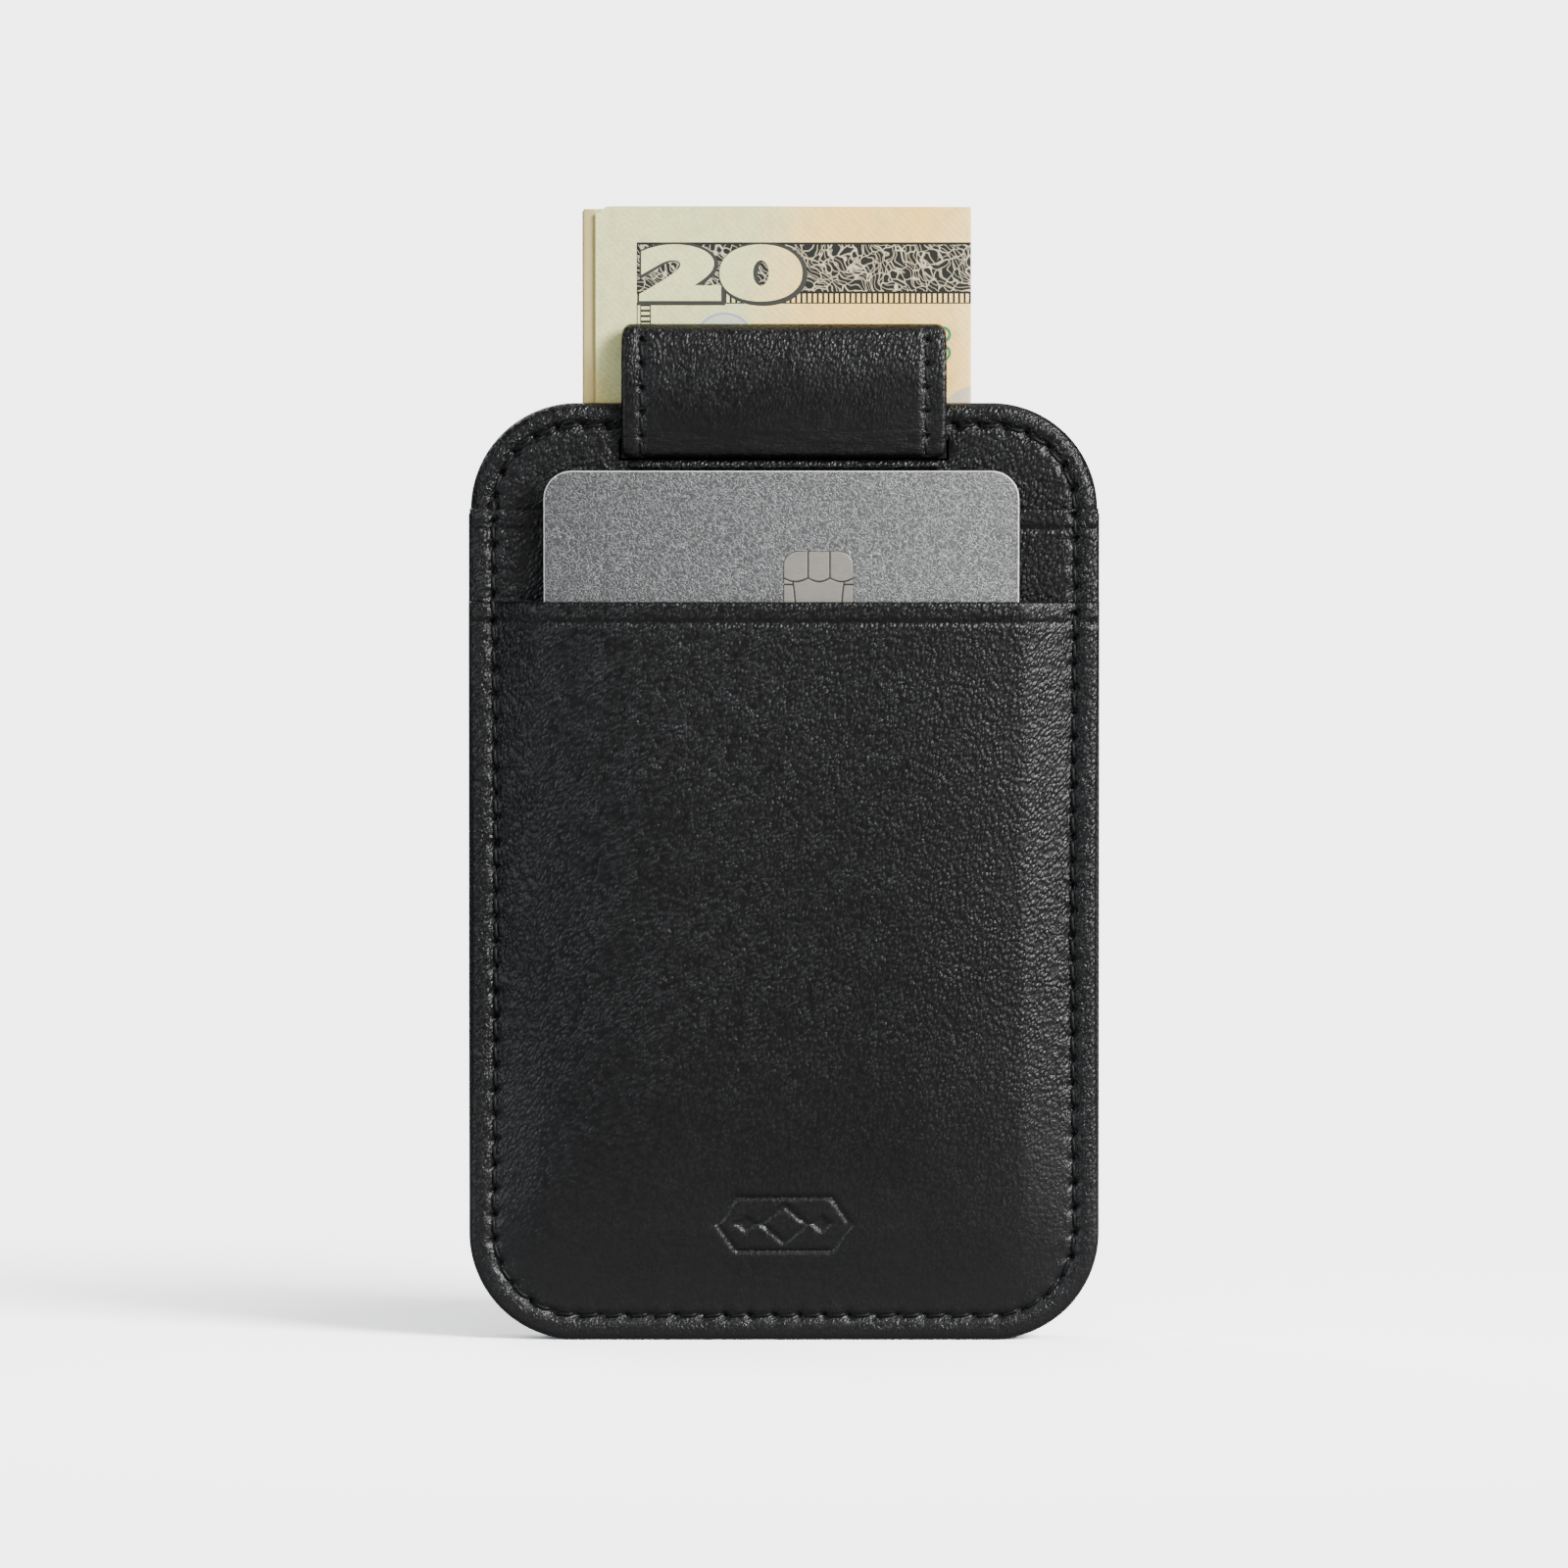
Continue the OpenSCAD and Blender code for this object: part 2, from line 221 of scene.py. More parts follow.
def along_seam(x, z):
    """The length along the seam of the point on it that is nearest to each point."""
    over_x = x - np.clip(x, -RUN_X, RUN_X)
    over_z = z - np.clip(z, RUN_LOW, RUN_HIGH)
    turn = SEAM_R * np.radians(np.degrees(np.arctan2(over_z, over_x)) % 360)
    right, left = x > RUN_X, x < -RUN_X
    low, high = z < RUN_LOW, z > RUN_HIGH
    bottom, right_side, top, left_side = np.cumsum([0, 2 * RUN_X + ARC, SIDE + ARC, 2 * RUN_X + ARC])
    return np.select(
        [right & low, right & high, left & high, left & low, right, left, z > CASE_H / 2],
        [
            bottom + 2 * RUN_X + turn - 3 * ARC, right_side + SIDE + turn,
            top + 2 * RUN_X + turn - ARC, left_side + SIDE + turn - 2 * ARC,
            right_side + z - RUN_LOW, left_side + RUN_HIGH - z, top + RUN_X - x,
        ],
        bottom + RUN_X + x,
    )


# ------------------------------------------------------------------ making pieces

def mesh_from(name, bm):
    """Moves a bmesh into a new mesh."""
    mesh = bpy.data.meshes.new(name)
    bm.to_mesh(mesh)
    bm.free()
    return mesh


def put(name, data):
    """Puts a new object into the scene."""
    thing = bpy.data.objects.new(name, data)
    bpy.context.scene.collection.objects.link(thing)
    return thing


def open_edges(items):
    return [item for item in items if isinstance(item, bmesh.types.BMEdge) and item.is_boundary]


def corners_of(items):
    return [item for item in items if isinstance(item, bmesh.types.BMVert)]


def finish(name, bm, body, material, replaces=(), turned=False, angle=45, marks=None):
    """Makes a bmesh in millimetres a finished, smoothly shaded piece. marks gives each vertex a value."""
    bmesh.ops.recalc_face_normals(bm, faces=bm.faces[:])
    values = None
    if marks is not None:
        values = marks(*np.array([v.co for v in bm.verts]).T)
    if turned:
        bmesh.ops.rotate(bm, matrix=Matrix.Rotation(math.pi, 3, "Z"), verts=bm.verts[:])
    bmesh.ops.scale(bm, vec=(MM, MM, MM), verts=bm.verts[:])
    mesh = mesh_from(name, bm)
    for polygon in mesh.polygons:
        polygon.use_smooth = True
    mesh.set_sharp_from_angle(angle=math.radians(angle))
    mesh.materials.append(material)
    if values is not None:
        mesh.attributes.new("marks", "FLOAT", "POINT").data.foreach_set("value", values)
    piece = put(name, mesh)
    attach(piece, body)
    if replaces:
        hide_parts(*replaces)
    return piece


def lattice(us, vs, place, wrap=False):
    """A grid of quads whose lines are us by vs, put in place by a function. wrap joins its v ends."""
    bm = bmesh.new()
    bmesh.ops.create_grid(bm, x_segments=len(us) - 1, y_segments=len(vs) - 1, size=1)
    flat = np.array([v.co for v in bm.verts])
    u = us[np.rint((flat[:, 0] + 1) / 2 * (len(us) - 1)).astype(int)]
    v = vs[np.rint((flat[:, 1] + 1) / 2 * (len(vs) - 1)).astype(int)]
    for vert, where in zip(bm.verts, place(u, v)):
        vert.co = where
    if wrap:
        bmesh.ops.remove_doubles(bm, verts=bm.verts[:], dist=1e-4)
        bmesh.ops.holes_fill(bm, edges=open_edges(bm.edges), sides=0)
    return bm


def walled(bm, depth):
    """Closes an open sheet with a wall back from its border and a flat end. depth moves a point's y."""
    wall = bmesh.ops.extrude_edge_only(bm, edges=open_edges(bm.edges))["geom"]
    for vert in corners_of(wall):
        vert.co.y = depth(vert.co.y)
    bmesh.ops.holes_fill(bm, edges=open_edges(wall), sides=0)
    return bm


def two_faced(us, vs, front, back):
    """A closed sheet: two grids, each with its own place, joined round their edges."""
    bm = lattice(us, vs, front)
    behind = lattice(us, vs, back)
    bmesh.ops.reverse_faces(behind, faces=behind.faces[:])
    spare = mesh_from("spare", behind)
    bm.from_mesh(spare)
    bpy.data.meshes.remove(spare)
    bmesh.ops.bridge_loops(bm, edges=open_edges(bm.edges))
    return bm


def rounded(x, z, half, low, high, r, both_ends=True):
    """Moves a rectangle's points so that its corners become round."""
    p = np.clip((np.abs(x) - (half - r)) / r, 0, 1)
    bottom = np.clip((low + r - z) / r, 0, 1)
    top = np.clip((z - (high - r)) / r, 0, 1) if both_ends else np.zeros_like(z)
    q = bottom + top
    corner = (p > 0) & (q > 0)
    new_x = np.sign(x) * (half - r + r * p * np.sqrt(1 - q * q / 2))
    new_q = q * np.sqrt(1 - p * p / 2)
    new_z = np.where(bottom > 0, low + r - r * new_q, high - r + r * new_q)
    return np.where(corner, new_x, x), np.where(corner, new_z, z)


WAIST_FOOT = 14
WAIST_PULL = 0.35


def waist(x, z):
    """The case's sides draw in a little between its pocket mouth and its foot."""
    pull = WAIST_PULL * np.sin(np.pi * np.clip((z - WAIST_FOOT) / (POCKET_MOUTH - WAIST_FOOT), 0, 1))
    return x - np.sign(x) * pull * (np.abs(x) / (CASE_W / 2)) ** 3


def edge_lines(start, *more):
    """Grid lines in from a sheet's edge: closest at its roll, then at its seam."""
    return stations(start, (start + 0.3, 0.1), (start + 1.3, 0.2), (start + 4.4, 0.26), *more)


def sheet_lines(inset, top, strip=(), device=0.0):
    """The lines of a sheet's grid, close together at its edges, its strips and round its device."""
    edge = edge_lines(inset - CASE_W / 2)
    middle = [(-edge[-1], 0.38)]
    if device:
        middle = [(-device, 0.62), (device, 0.28), (-edge[-1], 0.62)]
    xs = np.concatenate([edge, stations(edge[-1], *middle)[1:-1], -edge[::-1]])
    zs = edge_lines(inset, *strip)
    zs = np.concatenate([zs, stations(zs[-1], (top - 4.2, 0.34), (top - 1.0, 0.25), (top, 0.12))[1:]])
    return xs, zs


# How far a sewn rim swells, how deep its seam and needle holes are, and how it puckers at each stitch.
RIM_PUFF = 0.13
SEAM_SINK = 0.26
NEEDLE_HOLE = 0.6
PUCKER = 0.05
UNDER_STRAP = 0.35


def rim(x, z, inset, roll):
    """How a sewn sheet's face stands out from its plane: rolled edge, puffed rim and pulled-in seam."""
    from_sheet = from_edge(x, z, inset)
    from_case = from_sheet + inset
    s = along_seam(x, z)
    phase = np.cos(2 * np.pi * s / SEAM_STEP)
    behind_strap = (np.abs(x) < STRAP_HALF) & (z > CASE_H - 5)
    sewn = np.where(behind_strap, UNDER_STRAP, 1.0)
    face = -roll * 0.95 * rolled(from_sheet, roll)
    face += RIM_PUFF * hump(from_case, 1.55, 0.7)
    face -= sewn * SEAM_SINK * hump(from_case, SEAM_INSET, 0.42)
    for aside in (-0.65, 0.7):
        face -= sewn * PUCKER * phase * hump(from_case, SEAM_INSET + aside, 0.5)
    hole = needle_holes(s + 0.5 * (from_case - SEAM_INSET), SEAM_STEP, 4)
    face -= sewn * NEEDLE_HOLE * hole * hump(from_case, SEAM_INSET, 0.4)
    crumple = 0.05 * hump(from_case, 2.0, 1.2)
    return face + crumple * (ripple(x, z, 0.7, 3.1) + 0.6 * ripple(x, z, 1.9, 8.3))


def rim_marks(x, y, z):
    """Where the leather is crumpled by its seam: the rim outside it, and a little inside it."""
    from_case = from_edge(x, z)
    patchy = 0.65 + 0.5 * ripple(x, z, 5.0, 6.6)
    return np.clip((hump(from_case, 1.9, 0.85) + 0.35 * hump(from_case, 3.9, 0.8)) * patchy, 0, 1)


def hem(z, mouth):
    """How a pocket's turned mouth stands out: a rolled lip, a puffed band and a creased line."""
    below = mouth - z
    puff = 0.07 * np.sin(np.pi * np.clip(below / HEM, 0, 1))
    return puff - 0.34 * rolled(below, 0.45) - 0.17 * hump(below, HEM, 0.26)


def card_front_out(z):
    """How far out the card's front face is at the height z."""
    return -card_high.y + CARD_T + np.maximum(z - card_low.z, 0) * math.tan(CARD_LEAN)


def pouch(x, z):
    """How far the front pocket stands out over the card, beyond its rim's plane."""
    over_card = card_front_out(z) + CARD_PLAY + POCKET_LINING_T + POCKET_T - POCKET_OUT
    in_seam = np.maximum(from_edge(x, z) - (SEAM_INSET + 0.55), 0)
    card_top = 140
    off_card = -inside(x, z, CARD_X, CARD_HALF + 0.7, card_low.z - 0.7, card_top, CARD_R + 0.7)
    t = in_seam / (in_seam + np.maximum(off_card, 0) + 1e-6)
    soft = 0.42
    mix = np.clip(0.5 + 0.5 * (1 - t) / soft, 0, 1)
    rise = 1 + (t - 1) * mix - soft * mix * (1 - mix)
    flat_half, fall = 11, 18
    beyond = np.clip((np.abs(x - CARD_X) - flat_half) / fall, 0, 1)
    crown = 1.5 * (1 - beyond ** 2) * ease(z, 4, 30) * (1 - 0.3 * ease(z, 60, POCKET_MOUTH))
    return np.maximum(over_card * rise, 0) + crown * ease(in_seam, 0, 6)


# ------------------------------------------------------------------ materials

class Nodes:
    """The nodes of a material or a world."""

    def __init__(self, owner):
        owner.use_nodes = True
        self.tree = owner.node_tree

    def node(self, kind, inputs=None, **settings):
        made = self.tree.nodes.new("ShaderNode" + kind)
        for key, value in settings.items():
            setattr(made, key, value)
        for key, value in (inputs or {}).items():
            self.feed(made.inputs[key], value)
        return made

    def feed(self, socket, value):
        if isinstance(value, bpy.types.NodeSocket):
            self.tree.links.new(value, socket)
        else:
            socket.default_value = value


class Finish(Nodes):
    """A material and short ways of adding to its nodes."""

    def __init__(self, name, **shader):
        self.material = bpy.data.materials.new(name)
        super().__init__(self.material)
        self.shader = self.tree.nodes["Principled BSDF"]
        for socket, value in shader.items():
            self.shader.inputs[socket.replace("_", " ")].default_value = value

    def coat(self, colour, roughness, normal=None):
        """Feeds the shader, and hands the finished material over."""
        for socket, value in (("Base Color", colour), ("Roughness", roughness), ("Normal", normal)):
            if value is not None:
                self.feed(self.shader.inputs[socket], value)
        return self.material

    def place(self, scale=(1, 1, 1)):
        """The place on the piece, in millimetres, stretched by scale."""
        coordinates = self.node("TexCoord").outputs["Object"]
        scale = tuple(s / MM for s in scale)
        return self.node("Mapping", {"Vector": coordinates, "Scale": scale}).outputs[0]

    def marks(self):
        return self.node("Attribute", attribute_name="marks").outputs["Fac"]

    def noise(self, vector, scale, detail=2.0, roughness=0.5, output="Fac"):
        values = {"Vector": vector, "Scale": scale, "Detail": detail, "Roughness": roughness}
        return self.node("TexNoise", values).outputs[output]

    def wave(self, vector, scale, direction="X", distortion=0.0, **settings):
        values = {"Vector": vector, "Scale": scale, "Distortion": distortion}
        values.update({key.replace("_", " "): value for key, value in settings.items()})
        return self.node("TexWave", values, bands_direction=direction).outputs["Fac"]

    def cells(self, vector, scale, feature):
        made = self.node("TexVoronoi", {"Vector": vector, "Scale": scale}, feature=feature)
        return made.outputs["Distance"]

    def maths(self, operation, *values):
        return self.node("Math", dict(enumerate(values)), operation=operation).outputs[0]

    def plus(self, first, second):
        return self.maths("ADD", first, second)

    def times(self, first, second):
        return self.maths("MULTIPLY", first, second)

    def most(self, first, second):
        return self.maths("MAXIMUM", first, second)

    def vein(self, pattern):
        """0 along the lines where a noise crosses its middle, and more beside them."""
        return self.maths("ABSOLUTE", self.maths("SUBTRACT", pattern, 0.5))

    def within(self, value, low, high):
        """1 where value lies from low to high."""
        return self.times(self.maths("GREATER_THAN", value, low), self.maths("LESS_THAN", value, high))

    def axis(self, vector, name):
        return self.node("SeparateXYZ", {"Vector": vector}).outputs[name]

    def distance(self, vector, point):
        return self.node("VectorMath", {0: vector, 1: point}, operation="DISTANCE").outputs["Value"]

    def stir(self, vector, scale, amount):
        """Bends the place by smooth noise."""
        bend = self.noise(vector, scale, output="Color")
        half = self.node("VectorMath", {0: bend, 1: (0.5, 0.5, 0.5)}, operation="SUBTRACT").outputs[0]
        part = self.node("VectorMath", {0: half, "Scale": amount}, operation="SCALE").outputs[0]
        return self.node("VectorMath", {0: vector, 1: part}, operation="ADD").outputs[0]

    def span(self, value, low, high, to_low=0.0, to_high=1.0):
        """Maps low..high to to_low..to_high."""
        values = {"Value": value, "From Min": low, "From Max": high, "To Min": to_low, "To Max": to_high}
        return self.node("MapRange", values).outputs[0]

    def ramp(self, value, *stops):
        made = self.node("ValToRGB", {"Fac": value})
        ends = made.color_ramp.elements
        for element, (at, colour) in zip(ends, (stops[0], stops[-1])):
            element.position, element.color = at, rgba(*colour)
        for at, colour in stops[1:-1]:
            ends.new(at).color = rgba(*colour)
        return made.outputs["Color"]

    def mix(self, amount, first, second):
        return self.node("Mix", {"Factor": amount, 6: first, 7: second}, data_type="RGBA").outputs[2]

    def bump(self, height, depth, strength=1.0):
        values = {"Height": height, "Distance": depth * MM, "Strength": strength}
        return self.node("Bump", values).outputs[0]


def rgba(*colour):
    return (*colour, 1.0)


def black_leather(name, slant, flat_below, full_above, raised, painted_floor_reflection, creases=0.0):
    """Semi-gloss black leather: slanted pebbles, pressed flat low down, crumpled where marked. Its colour
    holds painted light: painted highlights on the pebble tops and crumpled ridges, and a painted reflection
    of the floor that makes it paler low down.
    """
    f = Finish(name, Specular_IOR_Level=0.26)
    place = f.place()
    turn = (0, math.radians(slant), 0)
    along = f.node("Mapping", {"Vector": f.stir(place, 0.7, 0.7), "Rotation": turn}).outputs[0]
    slanted = f.node("Mapping", {"Vector": along, "Scale": (0.55, 1, 1)}).outputs[0]
    pebble = f.span(f.cells(slanted, 2.9, "F1"), 0.1, 0.75, 1.0, 0.0)
    patch = f.span(f.noise(place, 0.35), 0.35, 0.62, 0.7, 1.0)
    z = f.axis(f.stir(place, 0.12, 14.0), "Z")
    pressed = f.span(z, flat_below, full_above, 0.25 * raised, raised)
    ridge = f.span(f.vein(f.noise(slanted, 2.2, 1.0)), 0.0, 0.1, 1.0, 0.0)
    crumple = f.times(ridge, f.span(f.marks(), 0, 1, 0.05, 0.7))
    pores = f.noise(place, 4.5, 2.0, 0.6)
    height = f.plus(f.times(pebble, f.times(patch, pressed)), crumple)
    height = f.plus(height, f.times(pores, 0.3))
    if creases:
        fold = f.vein(f.noise(f.place((0.3, 1, 1.5)), 1.5, 2.0, 0.6))
        low_down = f.span(z, flat_below - 1, flat_below + 2, 1.0, 0.0)
        height = f.plus(height, f.times(f.span(fold, 0.0, 0.08, creases, 0.0), low_down))
    # Painted highlight: the colour is lighter on the pebble tops and on the crumpled ridges.
    painted_light = f.plus(f.times(height, 0.5), f.times(crumple, 0.1))
    # Painted reflection: the colour is lighter low down, standing in for the floor's reflection.
    painted_light = f.plus(painted_light, f.span(z, flat_below, full_above, painted_floor_reflection, 0.0))
    colour = f.ramp(
        painted_light,
        (0.0, (0.0008, 0.0008, 0.0009)), (0.35, (0.0022, 0.0022, 0.0024)), (1.0, (0.0105, 0.0105, 0.011)),
    )
    return f.coat(colour, f.span(f.noise(place, 1.2), 0.3, 0.7, 0.3, 0.41), f.bump(height, 0.1))


def edge_paint():
    """Smooth black paint on cut leather edges, with faint brush ridges."""
    f = Finish("edge_paint", Specular_IOR_Level=0.4)
    place = f.place()
    ridges = f.noise(f.place((0.3, 3.0, 0.3)), 1.6, 3.0)
    colour = f.ramp(f.noise(place, 0.6), (0.3, (0.003, 0.003, 0.0033)), (0.8, (0.008, 0.008, 0.0085)))
    return f.coat(colour, f.span(f.noise(place, 2.0), 0.3, 0.7, 0.36, 0.5), f.bump(ridges, 0.05, 0.6))


def twill():
    """Fine black twill lining."""
    f = Finish("twill_lining", Sheen_Weight=0.3, Specular_IOR_Level=0.25)
    ribs = f.wave(f.place((1, 1, 0.6)), 1.1, "DIAGONAL", 0.4)
    cross = f.wave(f.place(), 1.6, "X", 0.5)
    weave = f.times(ribs, f.span(cross, 0, 1, 0.5, 1.0))
    colour = f.ramp(weave, (0.0, (0.006, 0.006, 0.007)), (1.0, (0.022, 0.022, 0.025)))
    return f.coat(colour, f.span(weave, 0, 1, 0.85, 0.7), f.bump(weave, 0.06, 0.8))


def flecked(name, stretch, grain, dark, light, roughness, relief=None, **shader):
    """A finish whose colour, roughness and relief follow one noise, from its dark to its light flecks."""
    f = Finish(name, **shader)
    fleck = f.noise(f.place(stretch), *grain)
    normal = f.bump(fleck, *relief) if relief else None
    return f.coat(f.ramp(fleck, dark, light), f.span(fleck, 0.3, 0.7, *roughness), normal)


def card_metal():
    """Grey metallic card: a fine sparkle of short strokes, a painted sheen that makes it lighter towards
    its right, and a painted highlight on the bevelled edge where marked.
    """
    f = Finish("card_metal", Metallic=0.6)
    place = f.place()
    strokes = f.span(f.vein(f.noise(f.stir(place, 1.1, 0.9), 2.5, 1.0)), 0.0, 0.06, 1.0, 0.0)
    specks = f.span(f.noise(place, 4.5, 2.0, 0.6), 0.45, 0.75)
    bright = f.plus(f.times(strokes, 0.62), f.times(specks, 0.4))
    shaded_side_copy = f.ramp(
        bright, (0.0, (0.05, 0.05, 0.051)), (0.5, (0.126, 0.126, 0.127)), (1.0, (0.42, 0.42, 0.42)),
    )
    lit_side_copy = f.ramp(
        bright, (0.0, (0.09, 0.09, 0.091)), (0.5, (0.22, 0.22, 0.221)), (1.0, (0.62, 0.62, 0.62)),
    )
    # Painted sheen: the colour runs from a shaded copy at the card's left to a lit copy at its right, as
    # light falls from the right.
    painted_sheen = f.mix(f.span(f.axis(place, "X"), -27.0, 22.0), shaded_side_copy, lit_side_copy)
    # Painted highlight: the marked bevel is coloured a bright grey.
    colour = f.mix(f.marks(), painted_sheen, rgba(0.5, 0.5, 0.495))
    return f.coat(colour, f.span(bright, 0, 1, 0.52, 0.36), f.bump(bright, 0.025, 0.8))


def chip_plate():
    """Warm grey contacts of softly lustrous plate, lightly brushed, with dark resin in the marked gaps."""
    f = Finish("chip_plate", Metallic=0.4)
    brushed = f.noise(f.place((0.6, 1, 6)), 2.2, 3.0, 0.6)
    plate = f.ramp(brushed, (0.3, (0.2, 0.186, 0.163)), (0.7, (0.26, 0.245, 0.218)))
    colour = f.mix(f.marks(), plate, rgba(0.03, 0.024, 0.019))
    return f.coat(colour, f.span(brushed, 0.3, 0.7, 0.34, 0.48), f.bump(brushed, 0.01, 0.5))


# The print on the note's front face, in millimetres.
BAND_LEFT = -16.8
BAND_END = 60
BAND_LOW = 118.1
BAND_HIGH = 125.1
LADDER_H = 1.25
RUNG_PITCH = 0.62
DISC_PLACE, DISC_R = (-6.8, 0, 113.6), 3.4
RING_X, RING_HEIGHTS = 18.1, (114.6, 112.5)
PATCH_PLACE, PATCH_R = (22.5, 0, 103.5), 5.4


def banknote_paper(printed):
    """Cotton paper tinted from pale green to peach, with fine lines and, in front, a dark band."""
    f = Finish("banknote_front" if printed else "banknote_plain", Specular_IOR_Level=0.2)
    place = f.place()
    x, y, z = (f.axis(place, name) for name in "XYZ")
    cloud = f.noise(f.place((1, 1, 0.6)), 0.12)
    colour = f.ramp(
        f.span(f.plus(x, f.span(cloud, 0.3, 0.7, -5.0, 5.0)), -24.0, 22.0),
        (0.0, (0.62, 0.52, 0.17)), (0.08, (0.55, 0.6, 0.28)), (0.4, (0.56, 0.62, 0.3)),
        (0.62, (0.95, 0.61, 0.17)), (0.8, (1.0, 0.56, 0.08)), (1.0, (1.0, 0.64, 0.2)),
    )
    lines = f.wave(place, 0.75, "DIAGONAL", 3.5, Detail=1.0, Detail_Scale=0.25)
    fibres = f.noise(f.place((1, 1, 2.5)), 2.2, 4.0, 0.65)
    handled = f.noise(f.place((1, 1, 0.7)), 0.8, 3.0, 0.6)
    for amount, paint in (
        (f.span(lines, 0.4, 0.8, 0.0, 0.28), (0.45, 0.41, 0.18)),
        (f.span(fibres, 0.35, 0.75, 0.0, 0.5), (1.0, 0.82, 0.4)),
        (f.span(handled, 0.45, 0.72, 0.0, 0.36), (0.38, 0.36, 0.2)),
        (f.span(x, NOTE_LEFT + 1.0, NOTE_LEFT + 1.3, 0.8, 0.0), (0.42, 0.32, 0.13)),
    ):
        colour = f.mix(amount, colour, rgba(*paint))
    if printed:
        colour = f.mix(f.maths("LESS_THAN", y, -LAYER), colour, engraved(f, colour, place, x, z))
    return f.coat(colour, f.span(fibres, 0.3, 0.7, 0.72, 0.86), f.bump(fibres, 0.02, 0.6))


def engraved(f, colour, place, x, z):
    """Adds the note's dark engraved band and its ladders, a shaded disc, two rings and a grey patch."""

    def rungs(value):
        return f.maths("LESS_THAN", f.maths("FRACT", f.maths("DIVIDE", value, RUNG_PITCH)), 0.42)

    ladder_top = BAND_LOW + LADDER_H
    band = f.within(x, BAND_LEFT, BAND_END)
    field = f.times(band, f.within(z, ladder_top, BAND_HIGH))
    bent = f.stir(place, 0.25, 5.0)
    veins = f.span(f.cells(bent, 0.8, "DISTANCE_TO_EDGE"), 0.008, 0.055, 0.75, 0.0)
    hatch = f.span(f.wave(bent, 0.8, "DIAGONAL", 1.5), 0.88, 0.98, 0.0, 0.45)
    colour = f.mix(f.times(field, 0.8), colour, rgba(0.72, 0.66, 0.5))
    dark = f.times(field, f.maths("SUBTRACT", 1.0, f.most(veins, hatch)))
    for low, high in (
        (BAND_HIGH - 0.28, BAND_HIGH), (ladder_top - 0.1, ladder_top + 0.16), (BAND_LOW, BAND_LOW + 0.14),
    ):
        dark = f.most(dark, f.times(band, f.within(z, low, high)))
    dark = f.most(dark, f.times(band, f.times(rungs(x), f.within(z, BAND_LOW, ladder_top))))
    post = f.times(rungs(z), f.within(x, BAND_LEFT + 0.5, BAND_LEFT + 1.5))
    for step in (0, 0.4, 1.5):
        post = f.most(post, f.within(x, BAND_LEFT + step, BAND_LEFT + step + 0.12))
    dark = f.most(dark, f.times(post, f.maths("LESS_THAN", z, BAND_LOW)))
    dark = f.maths("MINIMUM", dark, 1.0)

    flat = f.node("CombineXYZ", {"X": x, "Z": z}).outputs[0]
    disc = f.distance(flat, DISC_PLACE)
    shade = f.span(f.wave(place, 1.1), 0.3, 0.7, 0.25, 0.6)
    colour = f.mix(f.times(f.maths("LESS_THAN", disc, DISC_R), shade), colour, rgba(0.34, 0.38, 0.48))
    colour = f.mix(f.within(disc, DISC_R - 0.15, DISC_R + 0.1), colour, rgba(0.25, 0.3, 0.42))
    for height in RING_HEIGHTS:
        ring = f.distance(flat, (RING_X, 0, height))
        colour = f.mix(f.within(ring, 0.6, 0.95), colour, rgba(0.03, 0.19, 0.09))
    patch = f.maths("LESS_THAN", f.distance(flat, PATCH_PLACE), PATCH_R)
    colour = f.mix(f.times(patch, 0.7), colour, rgba(0.4, 0.4, 0.38))
    return f.mix(dark, colour, rgba(0.014, 0.0145, 0.012))


# Each leather's painted_floor_reflection is a painted reflection of the floor that lightens it low down.
leather = black_leather("case_leather", 58, 6.0, 38.0, raised=1.0, painted_floor_reflection=0.6)
strap_leather = black_leather(
    "strap_leather", 72, SLIT_Z + 2.5, SLIT_Z + 10.5, raised=0.8, painted_floor_reflection=0.26, creases=0.22,
)
thread = flecked(
    "waxed_thread", (3, 3, 3), (3.0, 3.0, 0.6), (0.3, (0.0012, 0.0012, 0.0013)),
    (0.75, (0.0045, 0.0045, 0.0048)), (0.42, 0.6), (0.04, 0.7), Specular_IOR_Level=0.16,
)
padding = flecked(
    "felt_padding", (1, 1, 1), (3.0, 5.0, 0.7), (0.3, (0.03, 0.03, 0.033)), (0.7, (0.08, 0.08, 0.085)),
    (0.9, 0.75), (0.15,), Sheen_Weight=0.4,
)
nickel = flecked(
    "nickel_plating", (1, 4, 1), (1.5, 4.0), (0.3, (0.5, 0.5, 0.51)), (0.7, (0.68, 0.68, 0.68)),
    (0.18, 0.34), Metallic=1.0,
)
ink = flecked(
    "banknote_ink", (1, 1, 1), (4.0,), (0.3, (0.012, 0.0125, 0.01)), (0.7, (0.024, 0.025, 0.021)),
    (0.7, 0.85),
)
lining = twill()
paint = edge_paint()
printed_paper = banknote_paper(printed=True)
plain_paper = banknote_paper(printed=False)


# ------------------------------------------------------------------ the case

